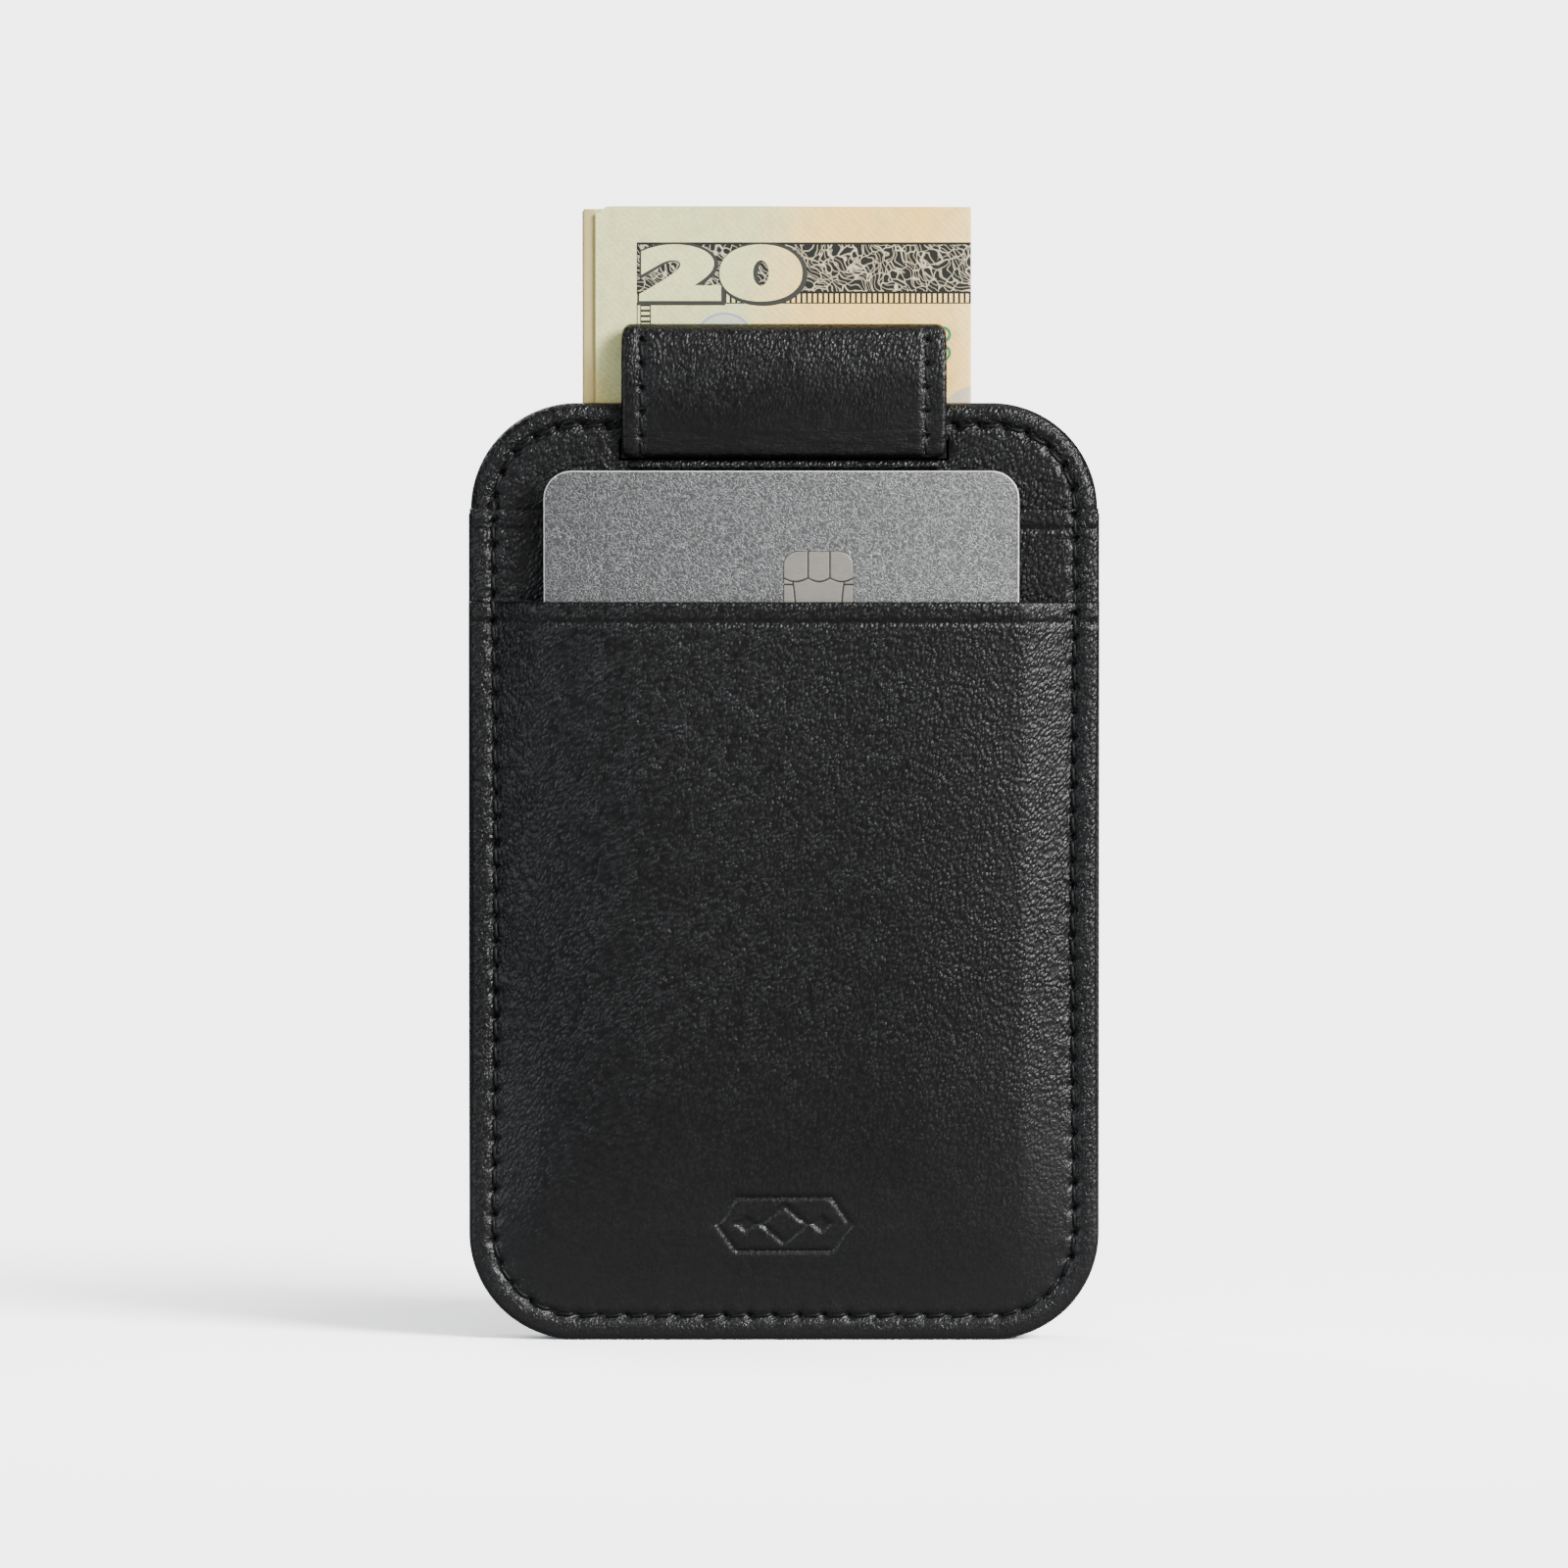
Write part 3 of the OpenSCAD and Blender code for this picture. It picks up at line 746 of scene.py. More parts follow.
def leaf(name, replaces, strip, slit_z, turned):
    """A stiffened panel: leather over board, rolled round its edge, with the slit a strap leaves by."""

    def place(x, z):
        x, z = rounded(x, z, CASE_W / 2 - LEAF_INSET, LEAF_INSET, CASE_H - LEAF_INSET, CORNER - LEAF_INSET)
        beside = np.abs(x) - STRAP_HALF
        slit_top = slit_z + SLIT_H
        in_slit = ease(-beside, -0.25, -0.1) * ease(z, slit_z - 0.12, slit_z)
        in_slit = in_slit * (1 - ease(z, slit_top, slit_top + 0.12))
        pulled = hump(z, slit_z + 0.8, 2.2) * hump(np.maximum(beside + 1, 0), 0, 2.4)
        corner = hump(np.hypot(beside - 1.6, z - slit_z), 0, 3.4)
        out = PANEL_OUT + rim(x, z, LEAF_INSET, LEAF_ROLL)
        out = out - 1.0 * in_slit - 0.16 * pulled * (1 - in_slit)
        out = out + 0.12 * corner * ripple(x * 1.8 + z, z - x, 1.1, 5.5)
        return np.column_stack([waist(x, z), -out, z])

    bm = lattice(*sheet_lines(LEAF_INSET, CASE_H - LEAF_INSET, strip), place)
    walled(bm, lambda y: -(LINING_OUT + 0.02))
    return finish(name, bm, "case", leather, replaces, turned, marks=rim_marks)


def leaf_lining(name, replaces, turned):
    """A leaf's flat woven lining, which faces the banknotes."""
    half, top = CASE_W / 2 - LINING_INSET, CASE_H - LINING_INSET

    def place(x, z):
        x, z = rounded(x, z, half, LINING_INSET, top, CORNER - LINING_INSET)
        return np.column_stack([waist(x, z), np.full_like(x, -LINING_OUT), z])

    bm = lattice(np.linspace(-half, half, 61), np.linspace(LINING_INSET, top, 101), place)
    grown = bmesh.ops.extrude_face_region(bm, geom=bm.faces[:])["geom"]
    for vert in corners_of(grown):
        vert.co.y = -GAP_HALF
    return finish(name, bm, "case", lining, replaces, turned)


def pocket_sheet(name, mouth, inset, strip, device, face, back, replaces):
    """A pocket's leather, closed all round, from its face to its back."""
    half = CASE_W / 2 - inset

    def place_with(depth):
        def place(x, z):
            x, z = rounded(x, z, half, inset, mouth, CORNER - inset, both_ends=False)
            x = under_shoulder(x, z, inset)
            return np.column_stack([waist(x, z), -depth(x, z), z])
        return place

    bm = two_faced(*sheet_lines(inset, mouth, strip, device), place_with(face), place_with(back))
    return finish(name, bm, "case", leather, replaces, marks=rim_marks)


def under_shoulder(x, z, inset):
    """Keeps a sheet that reaches into the round top corners inside the case's outline."""
    up = np.clip(z - SHOULDER_Z, 0, CORNER - inset)
    limit = CASE_W / 2 - CORNER + np.sqrt(np.maximum((CORNER - inset) ** 2 - up ** 2, 0))
    return x * limit / (CASE_W / 2 - inset)


ORNAMENT_Z = 13.4
ORNAMENT_DEPTH = 0.28


def ornament(x, z):
    """A debossed device: a lozenge between two small ones, in a long hexagon."""
    ax, az = np.abs(x), np.abs(z - ORNAMENT_Z)
    frame_line = np.maximum(az - 3.1, (ax * 0.82 + az * 0.57) - 6.2)
    lozenge = (ax + az * 1.15 - 2.5) * 0.66
    small = (np.abs(ax - 4.3) + az * 1.15 - 0.95) * 0.66
    stroke = np.maximum(hump(frame_line, 0, 0.25), hump(lozenge, 0, 0.24))
    return np.maximum(stroke, hump(np.maximum(small, 0), 0, 0.2))


def front_pocket_face(x, z):
    out = POCKET_OUT + rim(x, z, POCKET_INSET, POCKET_ROLL) + pouch(x, z) + hem(z, POCKET_MOUTH)
    return out - ORNAMENT_DEPTH * ornament(x, z) + 0.03 * ripple(x, z, 6.0, 2.2)


def front_pocket_back(x, z):
    return POCKET_BACK_OUT + pouch(x, z)


def second_pocket_back(x, z):
    return np.full_like(x, PANEL_OUT + POCKET_LINING_T)


def panel_face(x, z):
    return PANEL_OUT + rim(np.atleast_1d(x), np.atleast_1d(z), LEAF_INSET, LEAF_ROLL)


def second_pocket_face(x, z):
    return SECOND_OUT + rim(x, z, SECOND_INSET, SECOND_ROLL) + hem(z, SECOND_MOUTH)


def visible_face(x, z):
    """How far out the case's front is: the front pocket, the second pocket or the panel."""
    x, z = np.atleast_1d(x).astype(float), np.atleast_1d(z).astype(float)
    return np.where(
        z < POCKET_MOUTH, front_pocket_face(x, z),
        np.where(z < SECOND_MOUTH, second_pocket_face(x, z), panel_face(x, z)),
    )


# ------------------------------------------------------------------ stitching

def stitch_form():
    """One stitch of two-ply thread along X, 1 mm long, that dives into the leather at its ends."""
    bm = bmesh.new()
    bmesh.ops.create_cone(bm, cap_ends=True, segments=8, radius1=1, radius2=1, depth=1)
    bmesh.ops.rotate(bm, matrix=Matrix.Rotation(math.pi / 2, 3, "Y"), verts=bm.verts[:])
    long_edges = [e for e in bm.edges if abs(e.verts[0].co.x - e.verts[1].co.x) > 0.5]
    bmesh.ops.subdivide_edges(bm, edges=long_edges, cuts=6)
    for vert in bm.verts:
        t = 2 * vert.co.x
        turn = math.atan2(vert.co.z, vert.co.y)
        plies = 1 + 0.2 * math.cos(2 * turn - 5.5 * t)
        girth = THREAD_R * plies * (1 - 0.3 * t ** 6)
        vert.co.y = girth * vert.co.y + 0.42 * t ** 6
        vert.co.z = girth * vert.co.z
    return mesh_from("stitch_form", bm)


STITCH = stitch_form()
STITCH_GAP = 0.34
JAW_STITCH_GAP = 0.36


def sew(name, body, stitches, replaces, turned=False):
    """Lays stitches, each given by its two ends, the way out and its slant."""
    bm = bmesh.new()
    for start, end, out, slant in stitches:
        start, end, out = Vector(start), Vector(end), Vector(out).normalized()
        along = (end - start).normalized()
        side = along.cross(-out).normalized()
        along = (along + side * slant).normalized()
        side = along.cross(-out).normalized()
        matrix = Matrix((along * (end - start).length, -out, side)).transposed().to_4x4()
        matrix.translation = (start + end) / 2 + out * THREAD_R * 0.1
        first = len(bm.verts)
        bm.from_mesh(STITCH)
        bm.verts.ensure_lookup_table()
        bmesh.ops.transform(bm, matrix=matrix, verts=bm.verts[first:])
    return finish(name, bm, body, thread, replaces, turned, angle=60)


def case_stitches(face):
    """The stitches of the case's seam, on a face given as a distance out."""
    made = []
    for i in range(SEAM_COUNT):
        ends = []
        for s in (i * SEAM_STEP + STITCH_GAP, (i + 1) * SEAM_STEP - STITCH_GAP):
            x, z = seam_point(s)
            ends.append((float(waist(np.array([x]), np.array([z]))[0]), z))
        (x0, z0), (x1, z1) = ends
        middle_x, middle_z = (x0 + x1) / 2, (z0 + z1) / 2
        if abs(middle_x) < STRAP_HALF + 0.2 and middle_z > CASE_H / 2:
            continue
        out = float(face(middle_x, middle_z)[0])
        made.append(((x0, -out, z0), (x1, -out, z1), (0, -1, 0), 0.12))
    return made


# ------------------------------------------------------------------ the clip's jaws

def rounded_loop(corners, step):
    """A closed outline through corners, each (out, height, radius), as points about step apart."""
    points = []
    count = len(corners)
    for i, (y, z, r) in enumerate(corners):
        here = Vector((y, z))
        back = (Vector(corners[i - 1][:2]) - here).normalized()
        ahead = (Vector(corners[(i + 1) % count][:2]) - here).normalized()
        half = back.angle(ahead) / 2
        centre = here + (back + ahead).normalized() * r / math.sin(half)
        first = here + back * r / math.tan(half) - centre
        last = here + ahead * r / math.tan(half) - centre
        turn = first.angle_signed(last)
        for k in range(9):
            spin = Matrix.Rotation(-turn * k / 8, 2)
            points.append(centre + spin @ first)
    closed = np.array([tuple(p) for p in points + points[:1]])
    lengths = lengths_along(closed)
    at = np.linspace(0, lengths[-1], max(8, round(lengths[-1] / step)) + 1)
    return at, np.interp(at, lengths, closed[:, 0]), np.interp(at, lengths, closed[:, 1])


class Jaw:
    """A padded leather jaw: an outline in depth and height, carried across the strap's width.

    Its outline runs from its face's foot up to its crest, down its inner face to the case's rim, in to the
    panel and down it. Its radii are given in that order.
    """

    def __init__(self, face, inner, foot, crest, radii, crown, crown_low, crown_high):
        panel = PANEL_OUT + 0.06
        outs = (face, face, inner, inner, panel, panel)
        heights = (foot, crest, crest, RIM_STEP_Z, RIM_STEP_Z, foot)
        self.at, out, height = rounded_loop(list(zip(outs, heights, radii)), step=0.2)
        middle, half = (crown_low + crown_high) / 2, (crown_high - crown_low) / 2
        arched = crown * np.clip(1 - ((height - middle) / half) ** 2, 0, 1)
        self.out = out + arched * ease(out, out.max() - 1.6, out.max() - 0.1)
        self.height = height
        run_out = np.gradient(self.out)
        run_height = np.gradient(self.height)
        size = np.hypot(run_out, run_height)
        self.normal = np.array([run_height / size, -run_out / size])
        if np.mean(self.normal[0] * (self.out - self.out.mean())) < 0:
            self.normal = -self.normal
        self.front = ease(self.out, self.out.max() - 1.5, self.out.max() - 0.7)

    def sample(self, s, values):
        return np.interp(s % self.at[-1], self.at, values)

    def surface(self, x, s):
        """Depth and height of the skin at x across the strap and s along the outline."""
        out, height = self.sample(s, self.out), self.sample(s, self.height)
        n_out, n_height = self.sample(s, self.normal[0]), self.sample(s, self.normal[1])
        front = self.sample(s, self.front)
        ax = np.abs(x)
        dip = 0.24 * hump(ax, STRAP_SEAM, 0.42) + 0.2 * ease(ax, STRAP_SEAM - 0.5, STRAP_SEAM + 0.7)
        dip = dip + 0.55 * needle_holes(s, SEAM_PITCH, 6) * hump(ax, STRAP_SEAM, 0.34)
        puff = 0.12 * np.cos(np.pi * x / (2 * STRAP_HALF)) ** 2
        push = front * (puff - dip) - 0.52 * rolled(STRAP_HALF - ax, 0.55)
        push = push + 0.02 * front * ripple(x, height, 3.0, 7.7)
        folds = front * hump(height, self.height.min() + 2.2, 1.3)
        push = push + 0.09 * folds * ripple(x / 7, height, 0.42, 4.4)
        corner = 1.1 * rolled(STRAP_HALF - ax, 1.3)
        top = ease(height, self.height.max() - 5, self.height.max() - 0.5)
        bottom = 1 - ease(height, self.height.min() + 0.5, self.height.min() + 5)
        return out + push * n_out, height + push * n_height + corner * (bottom - top)

    def place(self, x, s):
        out, height = self.surface(x, s)
        return np.column_stack([x, -out, height])


def jaw_piece(name, jaw, body, replaces, turned):
    """The jaw's leather skin, padded between its two seams."""
    half = STRAP_HALF
    xs = stations(-half, (-half + 0.3, 0.06), (-half + 0.9, 0.15), (-half + 4, 0.25), (half - 4, 0.6),
                  (half - 0.9, 0.25), (half - 0.3, 0.15), (half, 0.06))
    bm = lattice(xs, jaw.at, jaw.place, wrap=True)
    piece = finish(name, bm, body, strap_leather, replaces, turned, marks=jaw_marks)
    return piece


def jaw_marks(x, y, z):
    """A jaw's leather is crumpled along its seams."""
    return np.clip(hump(np.abs(x), STRAP_SEAM, 0.5) + 0.3 * hump(z, z.max(), 1.2), 0, 1)


def jaw_stitches(jaw, first, last):
    """The two seams of a jaw, from the first to the last stitch along its outline."""
    made = []
    for side in (-1, 1):
        for i in range(first, last):
            ends = []
            for s in (i * SEAM_PITCH + JAW_STITCH_GAP, (i + 1) * SEAM_PITCH - JAW_STITCH_GAP):
                out, height = jaw.surface(np.array([side * STRAP_SEAM]), np.array([s]))
                ends.append(Vector((side * STRAP_SEAM, -out[0], height[0])))
            middle = (i + 0.5) * SEAM_PITCH
            n = (0, -jaw.sample(middle, jaw.normal[0]), jaw.sample(middle, jaw.normal[1]))
            made.append((ends[0], ends[1], n, 0.14))
    return made


def welt():
    """A thin rolled lip of leather under the strap, tapered at its ends."""
    half = STRAP_HALF - 0.8
    turn = np.radians(np.arange(0, 361, 20))
    xs = stations(-half, (-half + 0.6, 0.1), (half - 0.6, 0.5), (half, 0.1))

    def place(x, angle):
        t = np.clip((np.abs(x) - half + 1.4) / 1.4, 0, 1)
        girth = np.sqrt(1 - 0.97 * t * t)
        wave = 1 + 0.12 * ripple(x, x * 0, 2.4, 1.2)
        out = PANEL_OUT + 0.15 + 0.62 * girth * wave * np.cos(angle)
        height = SLIT_Z - 0.8 + 0.68 * girth * np.sin(angle) - 0.1 * girth * np.abs(np.cos(angle))
        return np.column_stack([x, -np.maximum(out, PANEL_OUT - 0.4), height])

    bm = lattice(xs, turn, place, wrap=True)
    return finish("strap_welt", bm, "case", leather, angle=80)


# ------------------------------------------------------------------ card and banknotes

def card():
    """The card: a plate with round corners and a fine bevel, marked for the painted highlight along it."""
    width, height = 2 * CARD_HALF, (card_high.z - card_low.z) / math.cos(CARD_LEAN)
    bm = bmesh.new()
    bmesh.ops.create_cube(bm, size=1)
    bmesh.ops.scale(bm, vec=(width, CARD_T, height), verts=bm.verts[:])
    bmesh.ops.translate(bm, vec=(0, -CARD_T / 2, height / 2), verts=bm.verts[:])
    upright = [e for e in bm.edges if abs(e.verts[0].co.y - e.verts[1].co.y) > 0.1]
    bmesh.ops.bevel(bm, geom=upright, offset=CARD_R, segments=12, profile=0.5, affect="EDGES", material=-1)
    faces = [f for f in bm.faces if abs(f.normal.y) > 0.9]
    rim_edges = [e for f in faces for e in f.edges]
    bmesh.ops.bevel(
        bm, geom=rim_edges, offset=CARD_BEVEL, segments=2, profile=0.5, affect="EDGES", material=-1,
    )
    faces = [f for f in bm.faces if abs(f.normal.y) > 0.99 and f.calc_area() > 100]
    bmesh.ops.inset_region(bm, faces=faces, thickness=0.02, depth=0)
    bmesh.ops.transform(bm, matrix=CARD_PLACE, verts=bm.verts[:])

    # Marks the bevel, where the card's colour holds a painted highlight.
    def marks(x, y, z):
        in_from_edge = inside(x, z, CARD_X, CARD_HALF, card_low.z, card_high.z, CARD_R)
        return (in_from_edge < CARD_BEVEL + 0.012).astype(float)

    finish("card_plate", bm, "card", card_metal(), ("card_body",), angle=30, marks=marks)


def chip_gaps(x, z, left, right, low, high):
    """1 in the gaps between the contacts: three at the top over scallops, a middle one, and the sides."""
    width = right - left
    u = (x - left) / width
    side_pad = 1.05
    first, second = 0.352, 0.662
    thirds = np.minimum(np.abs(u - first), np.abs(u - second)) * width
    pad = np.interp(u, [0, first, first + 1e-9, second, second + 1e-9, 1], [0, 1, 0, 1, 0, 1])
    scallop = high - 3.05 - 0.42 * np.sin(np.pi * np.clip(pad, 0, 1))
    upper = z > scallop
    lines = np.where(upper, thirds, 9.0)
    lines = np.minimum(lines, np.abs(z - scallop))
    drop = np.clip(high - 3.2 - z, 0, 7)
    lean_in = 0.32 * np.sin(np.pi * drop / 7)
    to_side = np.minimum(u, 1 - u) * width
    sides = np.abs(to_side - side_pad - lean_in)
    lines = np.where(upper, lines, np.minimum(lines, sides))
    rows = np.abs((z - high + 3.3) % 2.4 - 1.9)
    outer = to_side < side_pad + lean_in
    lines = np.where(upper | ~outer, lines, np.minimum(lines, rows))
    border = inside(x, z, (left + right) / 2, width / 2, low, high, CHIP_R)
    return np.clip((0.13 - np.minimum(lines, border)) / 0.05, 0, 1)


def chip():
    """The contact plate: raised contacts with sunk gaps between them."""
    left, right, low, high = chip_low.x, chip_high.x, chip_low.z, chip_high.z
    half, middle = (right - left) / 2, (left + right) / 2
    xs = stations(-half, (half, CHIP_STEP))
    zs = stations(low, (high, CHIP_STEP))

    def place(x, z):
        x, z = rounded(x, z, half, low, high, CHIP_R)
        gaps = chip_gaps(x + middle, z, left, right, low, high)
        out = CARD_T + CONTACT_RISE - CONTACT_GAP * gaps
        local = np.column_stack([x + middle - CARD_X, -out, (z - CARD_FOOT.z) / math.cos(CARD_LEAN)])
        return [CARD_PLACE @ Vector(point) for point in local]

    bm = walled(lattice(xs, zs, place), lambda y: y + 0.12)

    def marks(x, y, z):
        return chip_gaps(x, z, left, right, low, high)

    finish("contact_plate", bm, "card", chip_plate(), ("card_chip",), angle=60, marks=marks)


def fold_path(offset):
    """A note's folds seen from above, from its front edge to its rear edge, as places and lengths."""
    places = []
    last_leaf = 26
    turns = [NOTE_LEFT + 1.2, NOTE_RIGHT, NOTE_LEFT, NOTE_RIGHT, NOTE_RIGHT - last_leaf]
    for k, (start, end) in enumerate(zip(turns, turns[1:])):
        y = (k - 1.5) * LAYER
        side = offset if k % 2 == 0 else -offset
        for x in stations(start, (end, 1.2)):
            places.append((x, y + side))
        if k < 3:
            bulge = 1 if end > start else -1
            r = LAYER / 2 - side
            for angle in (30, 60, 90, 120, 150):
                a = math.radians(angle)
                places.append((end + bulge * r * math.sin(a), y + LAYER / 2 - r * math.cos(a)))
    places = np.array(places)
    return places, lengths_along(places)


def note_bow(x, z):
    """How far the notes' free end stands back from flat."""
    return ease(z, CASE_H + 5, NOTE_HIGH) * (0.1 * np.sin(x / 13 + 0.4) - 0.12 * (x / 22) ** 2 + 0.1)


def banknote(name, offset, shorter, material, replaces):
    """A folded banknote: its layers lie close, with slightly uneven tops and a faint wave."""
    places, lengths = fold_path(offset)
    zs = stations(NOTE_LOW, (CASE_H - 7, 4.0), (NOTE_HIGH, 1.0))
    along = np.gradient(places, lengths, axis=0)
    along /= np.hypot(along[:, 0], along[:, 1])[:, None]

    def face(side):
        def place(s, z):
            x = np.interp(s, lengths, places[:, 0] - along[:, 1] * side)
            y = np.interp(s, lengths, places[:, 1] + along[:, 0] * side)
            up = (z - NOTE_LOW) / (NOTE_HIGH - NOTE_LOW)
            drop = shorter + 0.0045 * np.maximum(s - 41, 0) + 0.12 * np.sin(s / 31 + offset * 9)
            corner = 0.9 * np.clip(1 - s / 1.5, 0, 1) ** 2 * ease(z, NOTE_HIGH - 2, NOTE_HIGH)
            return np.column_stack([x, y + note_bow(x, z), z - np.maximum(drop, 0) * up - corner])
        return place

    bm = two_faced(lengths, zs, face(-NOTE_T / 2), face(NOTE_T / 2))
    finish(name, bm, "notes", material, replaces, angle=60)


def numerals():
    """Plain numerals on the note's front: light figures with a dark outline and shadow."""
    front = -(1.5 * LAYER + NEST + NOTE_T / 2) - 0.03
    bare_width, bare_height = 18.6, BAND_HIGH - BAND_LOW - 0.5
    for name, spread, grow, shift, depth, material in (
        ("numeral_outline", 0.085, 0.38, (0.2, -0.12), 0.0, ink),
        ("numeral_face", 0.068, 0.0, (0, 0), 0.02, plain_paper),
    ):
        text = bpy.data.curves.new(name, "FONT")
        text.body = "20"
        text.size = 1
        text.extrude = 0.004
        text.offset = spread
        text.space_character = 1.12
        holder = put(name, text)
        bpy.context.view_layer.update()
        mesh = bpy.data.meshes.new_from_object(holder.evaluated_get(bpy.context.evaluated_depsgraph_get()))
        bpy.data.objects.remove(holder)
        bm = bmesh.new()
        bm.from_mesh(mesh)
        bpy.data.meshes.remove(mesh)
        points = np.array([v.co for v in bm.verts])
        low, high = points.min(axis=0), points.max(axis=0)
        width, height = bare_width + 2 * grow, bare_height + 2 * grow
        for vert in bm.verts:
            u = (vert.co.x - low[0]) / (high[0] - low[0])
            w = (vert.co.y - low[1]) / (high[1] - low[1])
            x = BAND_LEFT + 0.3 - grow + u * width + shift[0]
            z = BAND_LOW + 0.25 - grow + w * height + shift[1]
            vert.co = (x, front - depth + float(note_bow(x, z)) - vert.co.z * 2, z)
        finish(name, bm, "notes", material, angle=30)


# ------------------------------------------------------------------ making it all

FRONT_STRIP = ((12.4, 0.6), (80.0, 2.4))
SECOND_STRIP = ((12.4, 0.6), (78.0, 2.4))
POCKET_STRIP = ((8.8, 0.4), (18.2, 0.22))
DEVICE_HALF = 8.0

leaf("front_leaf_leather", ("front_panel", "front_board"), FRONT_STRIP, SLIT_Z, False)
leaf("back_leaf_leather", ("back_panel", "back_board"), (), FLAP_SLIT_Z, True)
leaf_lining("front_leaf_lining", ("front_lining",), False)
leaf_lining("back_leaf_lining", ("back_lining",), True)
pocket_sheet("second_pocket_leather", SECOND_MOUTH, SECOND_INSET, SECOND_STRIP, 0,
             second_pocket_face, second_pocket_back, ("second_pocket",))
pocket_sheet("front_pocket_leather", POCKET_MOUTH, POCKET_INSET, POCKET_STRIP, DEVICE_HALF,
             front_pocket_face, front_pocket_back, ("front_pocket",))
welt()
sew("front_seam", "case", case_stitches(visible_face), ("case_seam_thread_front",))
sew("back_seam", "case", case_stitches(panel_face), ("case_seam_thread_back",), turned=True)

front_jaw = Jaw(
    TAB_OUT, -tab_high.y, SLIT_Z, tab_high.z, (0.7, 1.45, 1.2, 0.35, 0.3, 0.5),
    crown=0.9, crown_low=SLIT_Z, crown_high=tab_high.z,
)
jaw_piece("front_tab_leather", front_jaw, "front_tab", ("front_tab_cover",), False)
sew("front_tab_seams", "front_tab", jaw_stitches(front_jaw, 0, 6), ("front_tab_thread",))

rear_jaw = Jaw(
    flap_high.y - 0.1, flap_low.y, FLAP_SLIT_Z + 0.05, flap_high.z, (0.84, 1.5, 1.4, 0.35, 0.3, 0.84),
    crown=0.2, crown_low=104, crown_high=flap_high.z + 1,
)
jaw_piece("rear_flap_leather", rear_jaw, "rear_flap", ("rear_flap_cover",), True)
sew("rear_flap_seams", "rear_flap", jaw_stitches(rear_jaw, 1, 13), ("rear_flap_thread",), turned=True)

card()
chip()
banknote("front_banknote", -NEST, 0.0, printed_paper, ("banknote_outer",))
banknote("second_banknote", NEST, 0.35, plain_paper, ("banknote_inner",))
numerals()

# The other frame nodes keep their shapes, in the material that their own slot calls for.
for node, material in (
    ("gusset_strip", paint), ("second_pocket_lining", lining), ("front_pocket_lining", lining),
    ("front_tab_tail", strap_leather), ("rear_flap_tail", strap_leather),
    ("front_tab_padding", padding), ("rear_flap_padding", padding),
    ("front_tab_magnets", nickel), ("rear_flap_magnets", nickel),
):
    mesh = frame["nodes"][node].data
    mesh.materials.clear()
    mesh.materials.append(material)


# ------------------------------------------------------------------ floor, light and camera

def aim_at(thing, place, aim):
    """Puts a light or the camera in its place, turned towards its aim."""
    thing.location = place
    thing.rotation_euler = (aim - place).to_track_quat("-Z", "Y").to_euler()


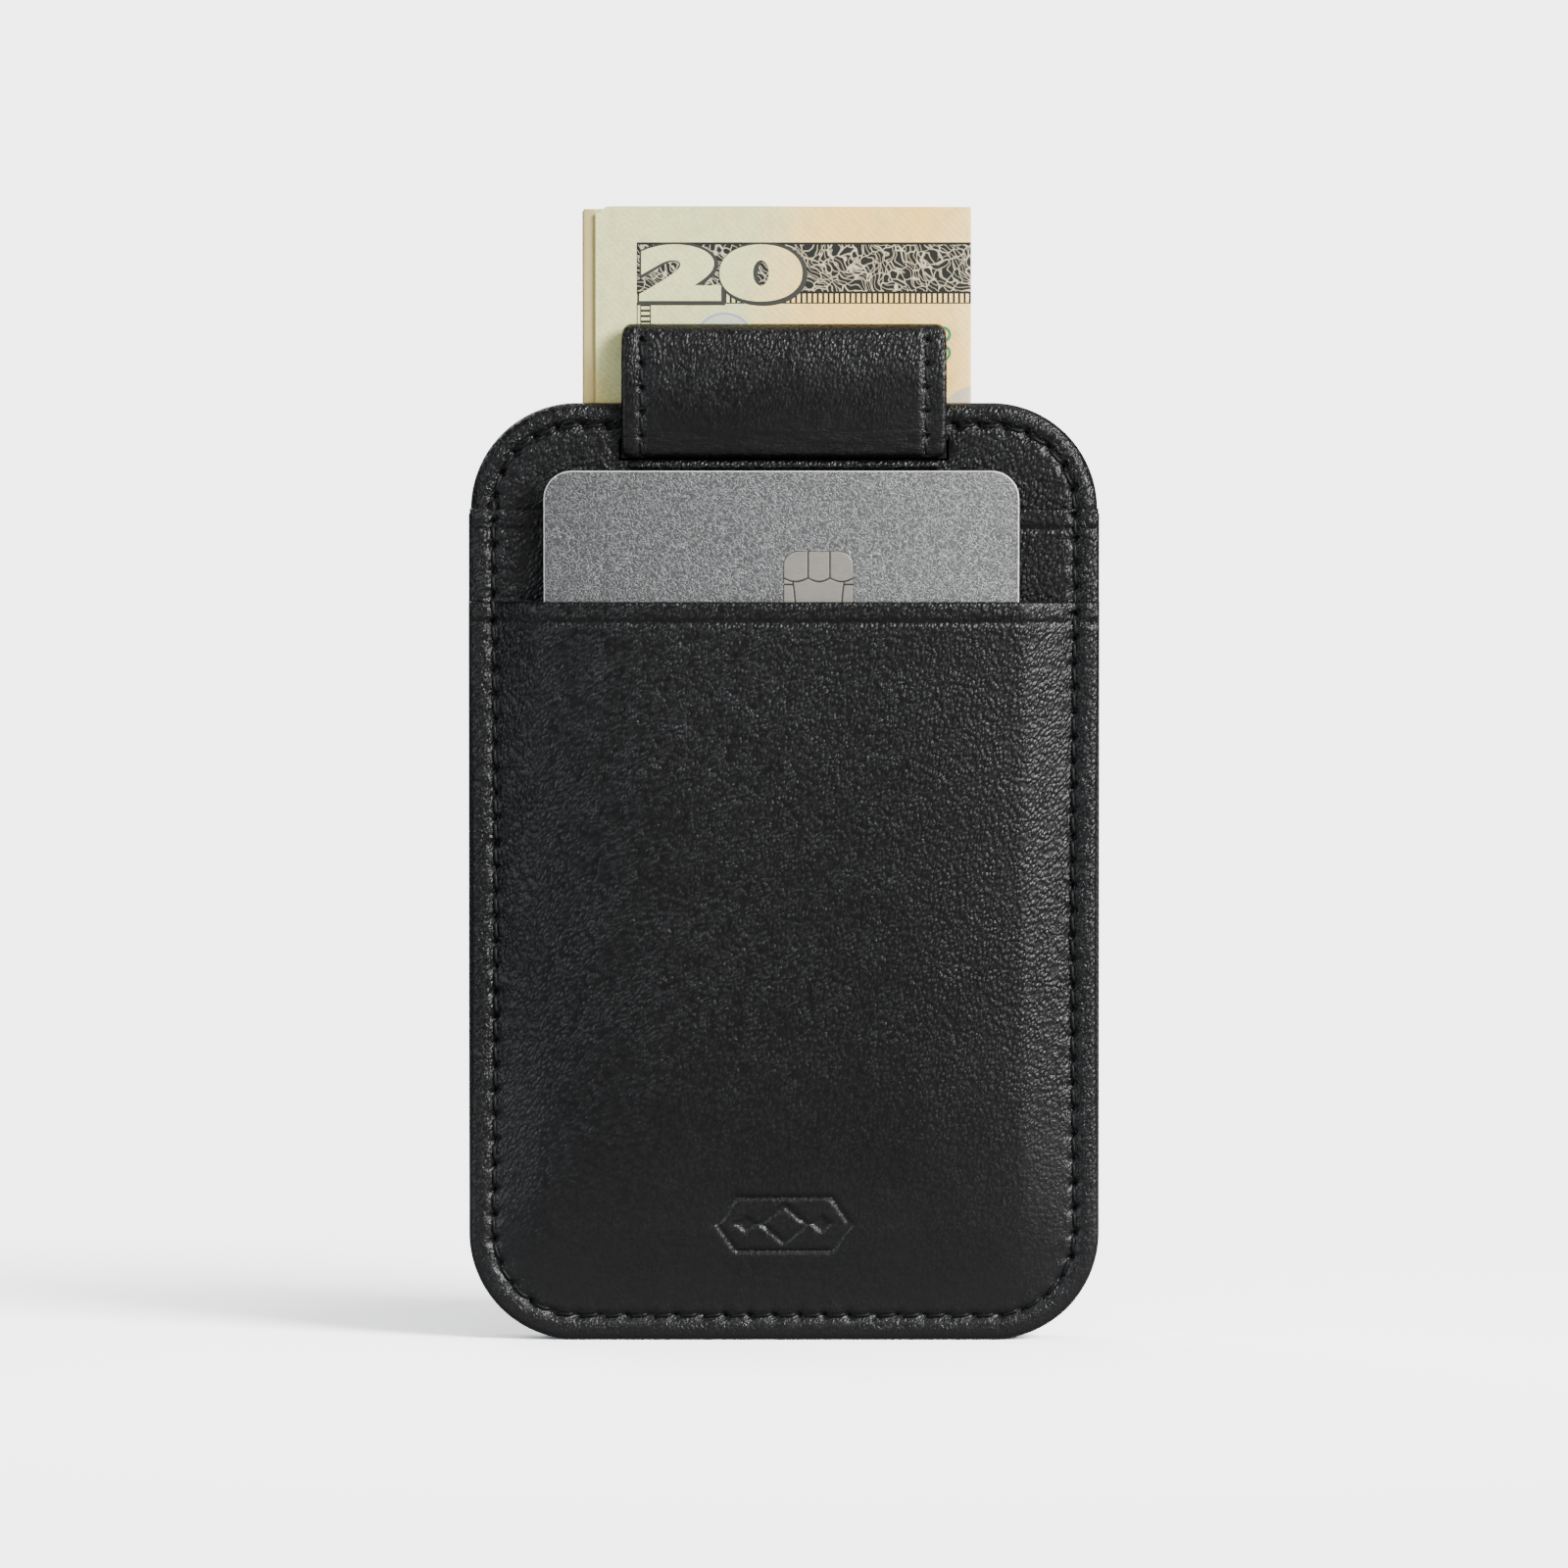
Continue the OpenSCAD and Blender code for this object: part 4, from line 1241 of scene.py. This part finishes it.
def studio():
    """A pale floor that melts into a pale room, soft lights and the camera."""
    pale = 4.6
    scene = bpy.context.scene
    scene.world = bpy.data.worlds.new("studio")
    room = Nodes(scene.world)
    lit = room.node("Background", {"Color": rgba(0.12, 0.122, 0.128)}).outputs[0]
    seen = room.node("Background", {"Color": rgba(pale, pale, pale)}).outputs[0]
    seen_ray = room.node("LightPath").outputs["Is Camera Ray"]
    pick = room.node("MixShader", {0: seen_ray, 1: lit, 2: seen}).outputs[0]
    room.feed(room.tree.nodes["World Output"].inputs["Surface"], pick)

    f = Finish("floor_paint", Roughness=0.8, Specular_IOR_Level=0.1)
    f.shader.inputs["Base Color"].default_value = rgba(0.25, 0.25, 0.25)
    seen_ray = f.node("LightPath").outputs["Is Camera Ray"]
    once = f.node("BsdfDiffuse", {"Color": rgba(0.72, 0.72, 0.72)}).outputs[0]
    twice = f.node("AddShader", {0: once, 1: once}).outputs[0]
    thrice = f.node("AddShader", {0: twice, 1: once}).outputs[0]
    ground = f.node("MixShader", {0: seen_ray, 1: f.shader.outputs[0], 2: thrice}).outputs[0]
    glow = f.node("Emission", {"Color": rgba(pale, pale, pale)})
    radius = f.distance(f.node("TexCoord").outputs["Object"], (0, 0, 0))
    far = f.times(f.span(radius, 0.055, 0.17), seen_ray)
    pick = f.node("MixShader", {0: far, 1: ground, 2: glow.outputs[0]})
    f.tree.links.new(pick.outputs[0], f.tree.nodes["Material Output"].inputs["Surface"])
    bm = bmesh.new()
    bmesh.ops.create_circle(bm, cap_ends=True, segments=64, radius=6)
    mesh = mesh_from("floor", bm)
    mesh.materials.append(f.material)
    put("floor", mesh)

    def softbox(name, place, aim, width, height, power, tint=(1, 1, 1)):
        light = bpy.data.lights.new(name, "AREA")
        light.shape = "RECTANGLE"
        light.size, light.size_y = width, height
        light.energy = power
        light.color = tint
        aim_at(put(name, light), Vector(place), Vector(aim))

    softbox("key", (0.74, -0.6, 0.54), (0, 0, 0.06), 0.4, 0.5, 34.5)
    softbox("near_right", (0.34, -0.52, 0.2), (0, 0, 0.06), 0.25, 0.25, 1.2)
    softbox("top_front", (-0.05, -0.75, 0.5), (0, 0, 0.08), 0.5, 0.2, 1.0)
    softbox("ceiling", (0.15, 0.1, 1.0), (0, 0, 0), 0.8, 0.8, 3.6)
    softbox("rear_fill", (-0.5, 0.8, 0.75), (0, 0, 0.06), 0.8, 0.6, 7.0)
    softbox("left_fill", (-0.7, -0.55, 0.2), (0, 0, 0.06), 0.25, 0.6, 4.5, (0.86, 0.93, 1.0))

    camera = bpy.data.cameras.new("camera")
    camera.lens = 200.9
    camera.sensor_width = 36
    scene.camera = put("camera", camera)
    aim = Vector((0, 0, 0.0633))
    lift = math.radians(2.0)
    aim_at(scene.camera, aim + Vector((0, -math.cos(lift), math.sin(lift))), aim)


studio()
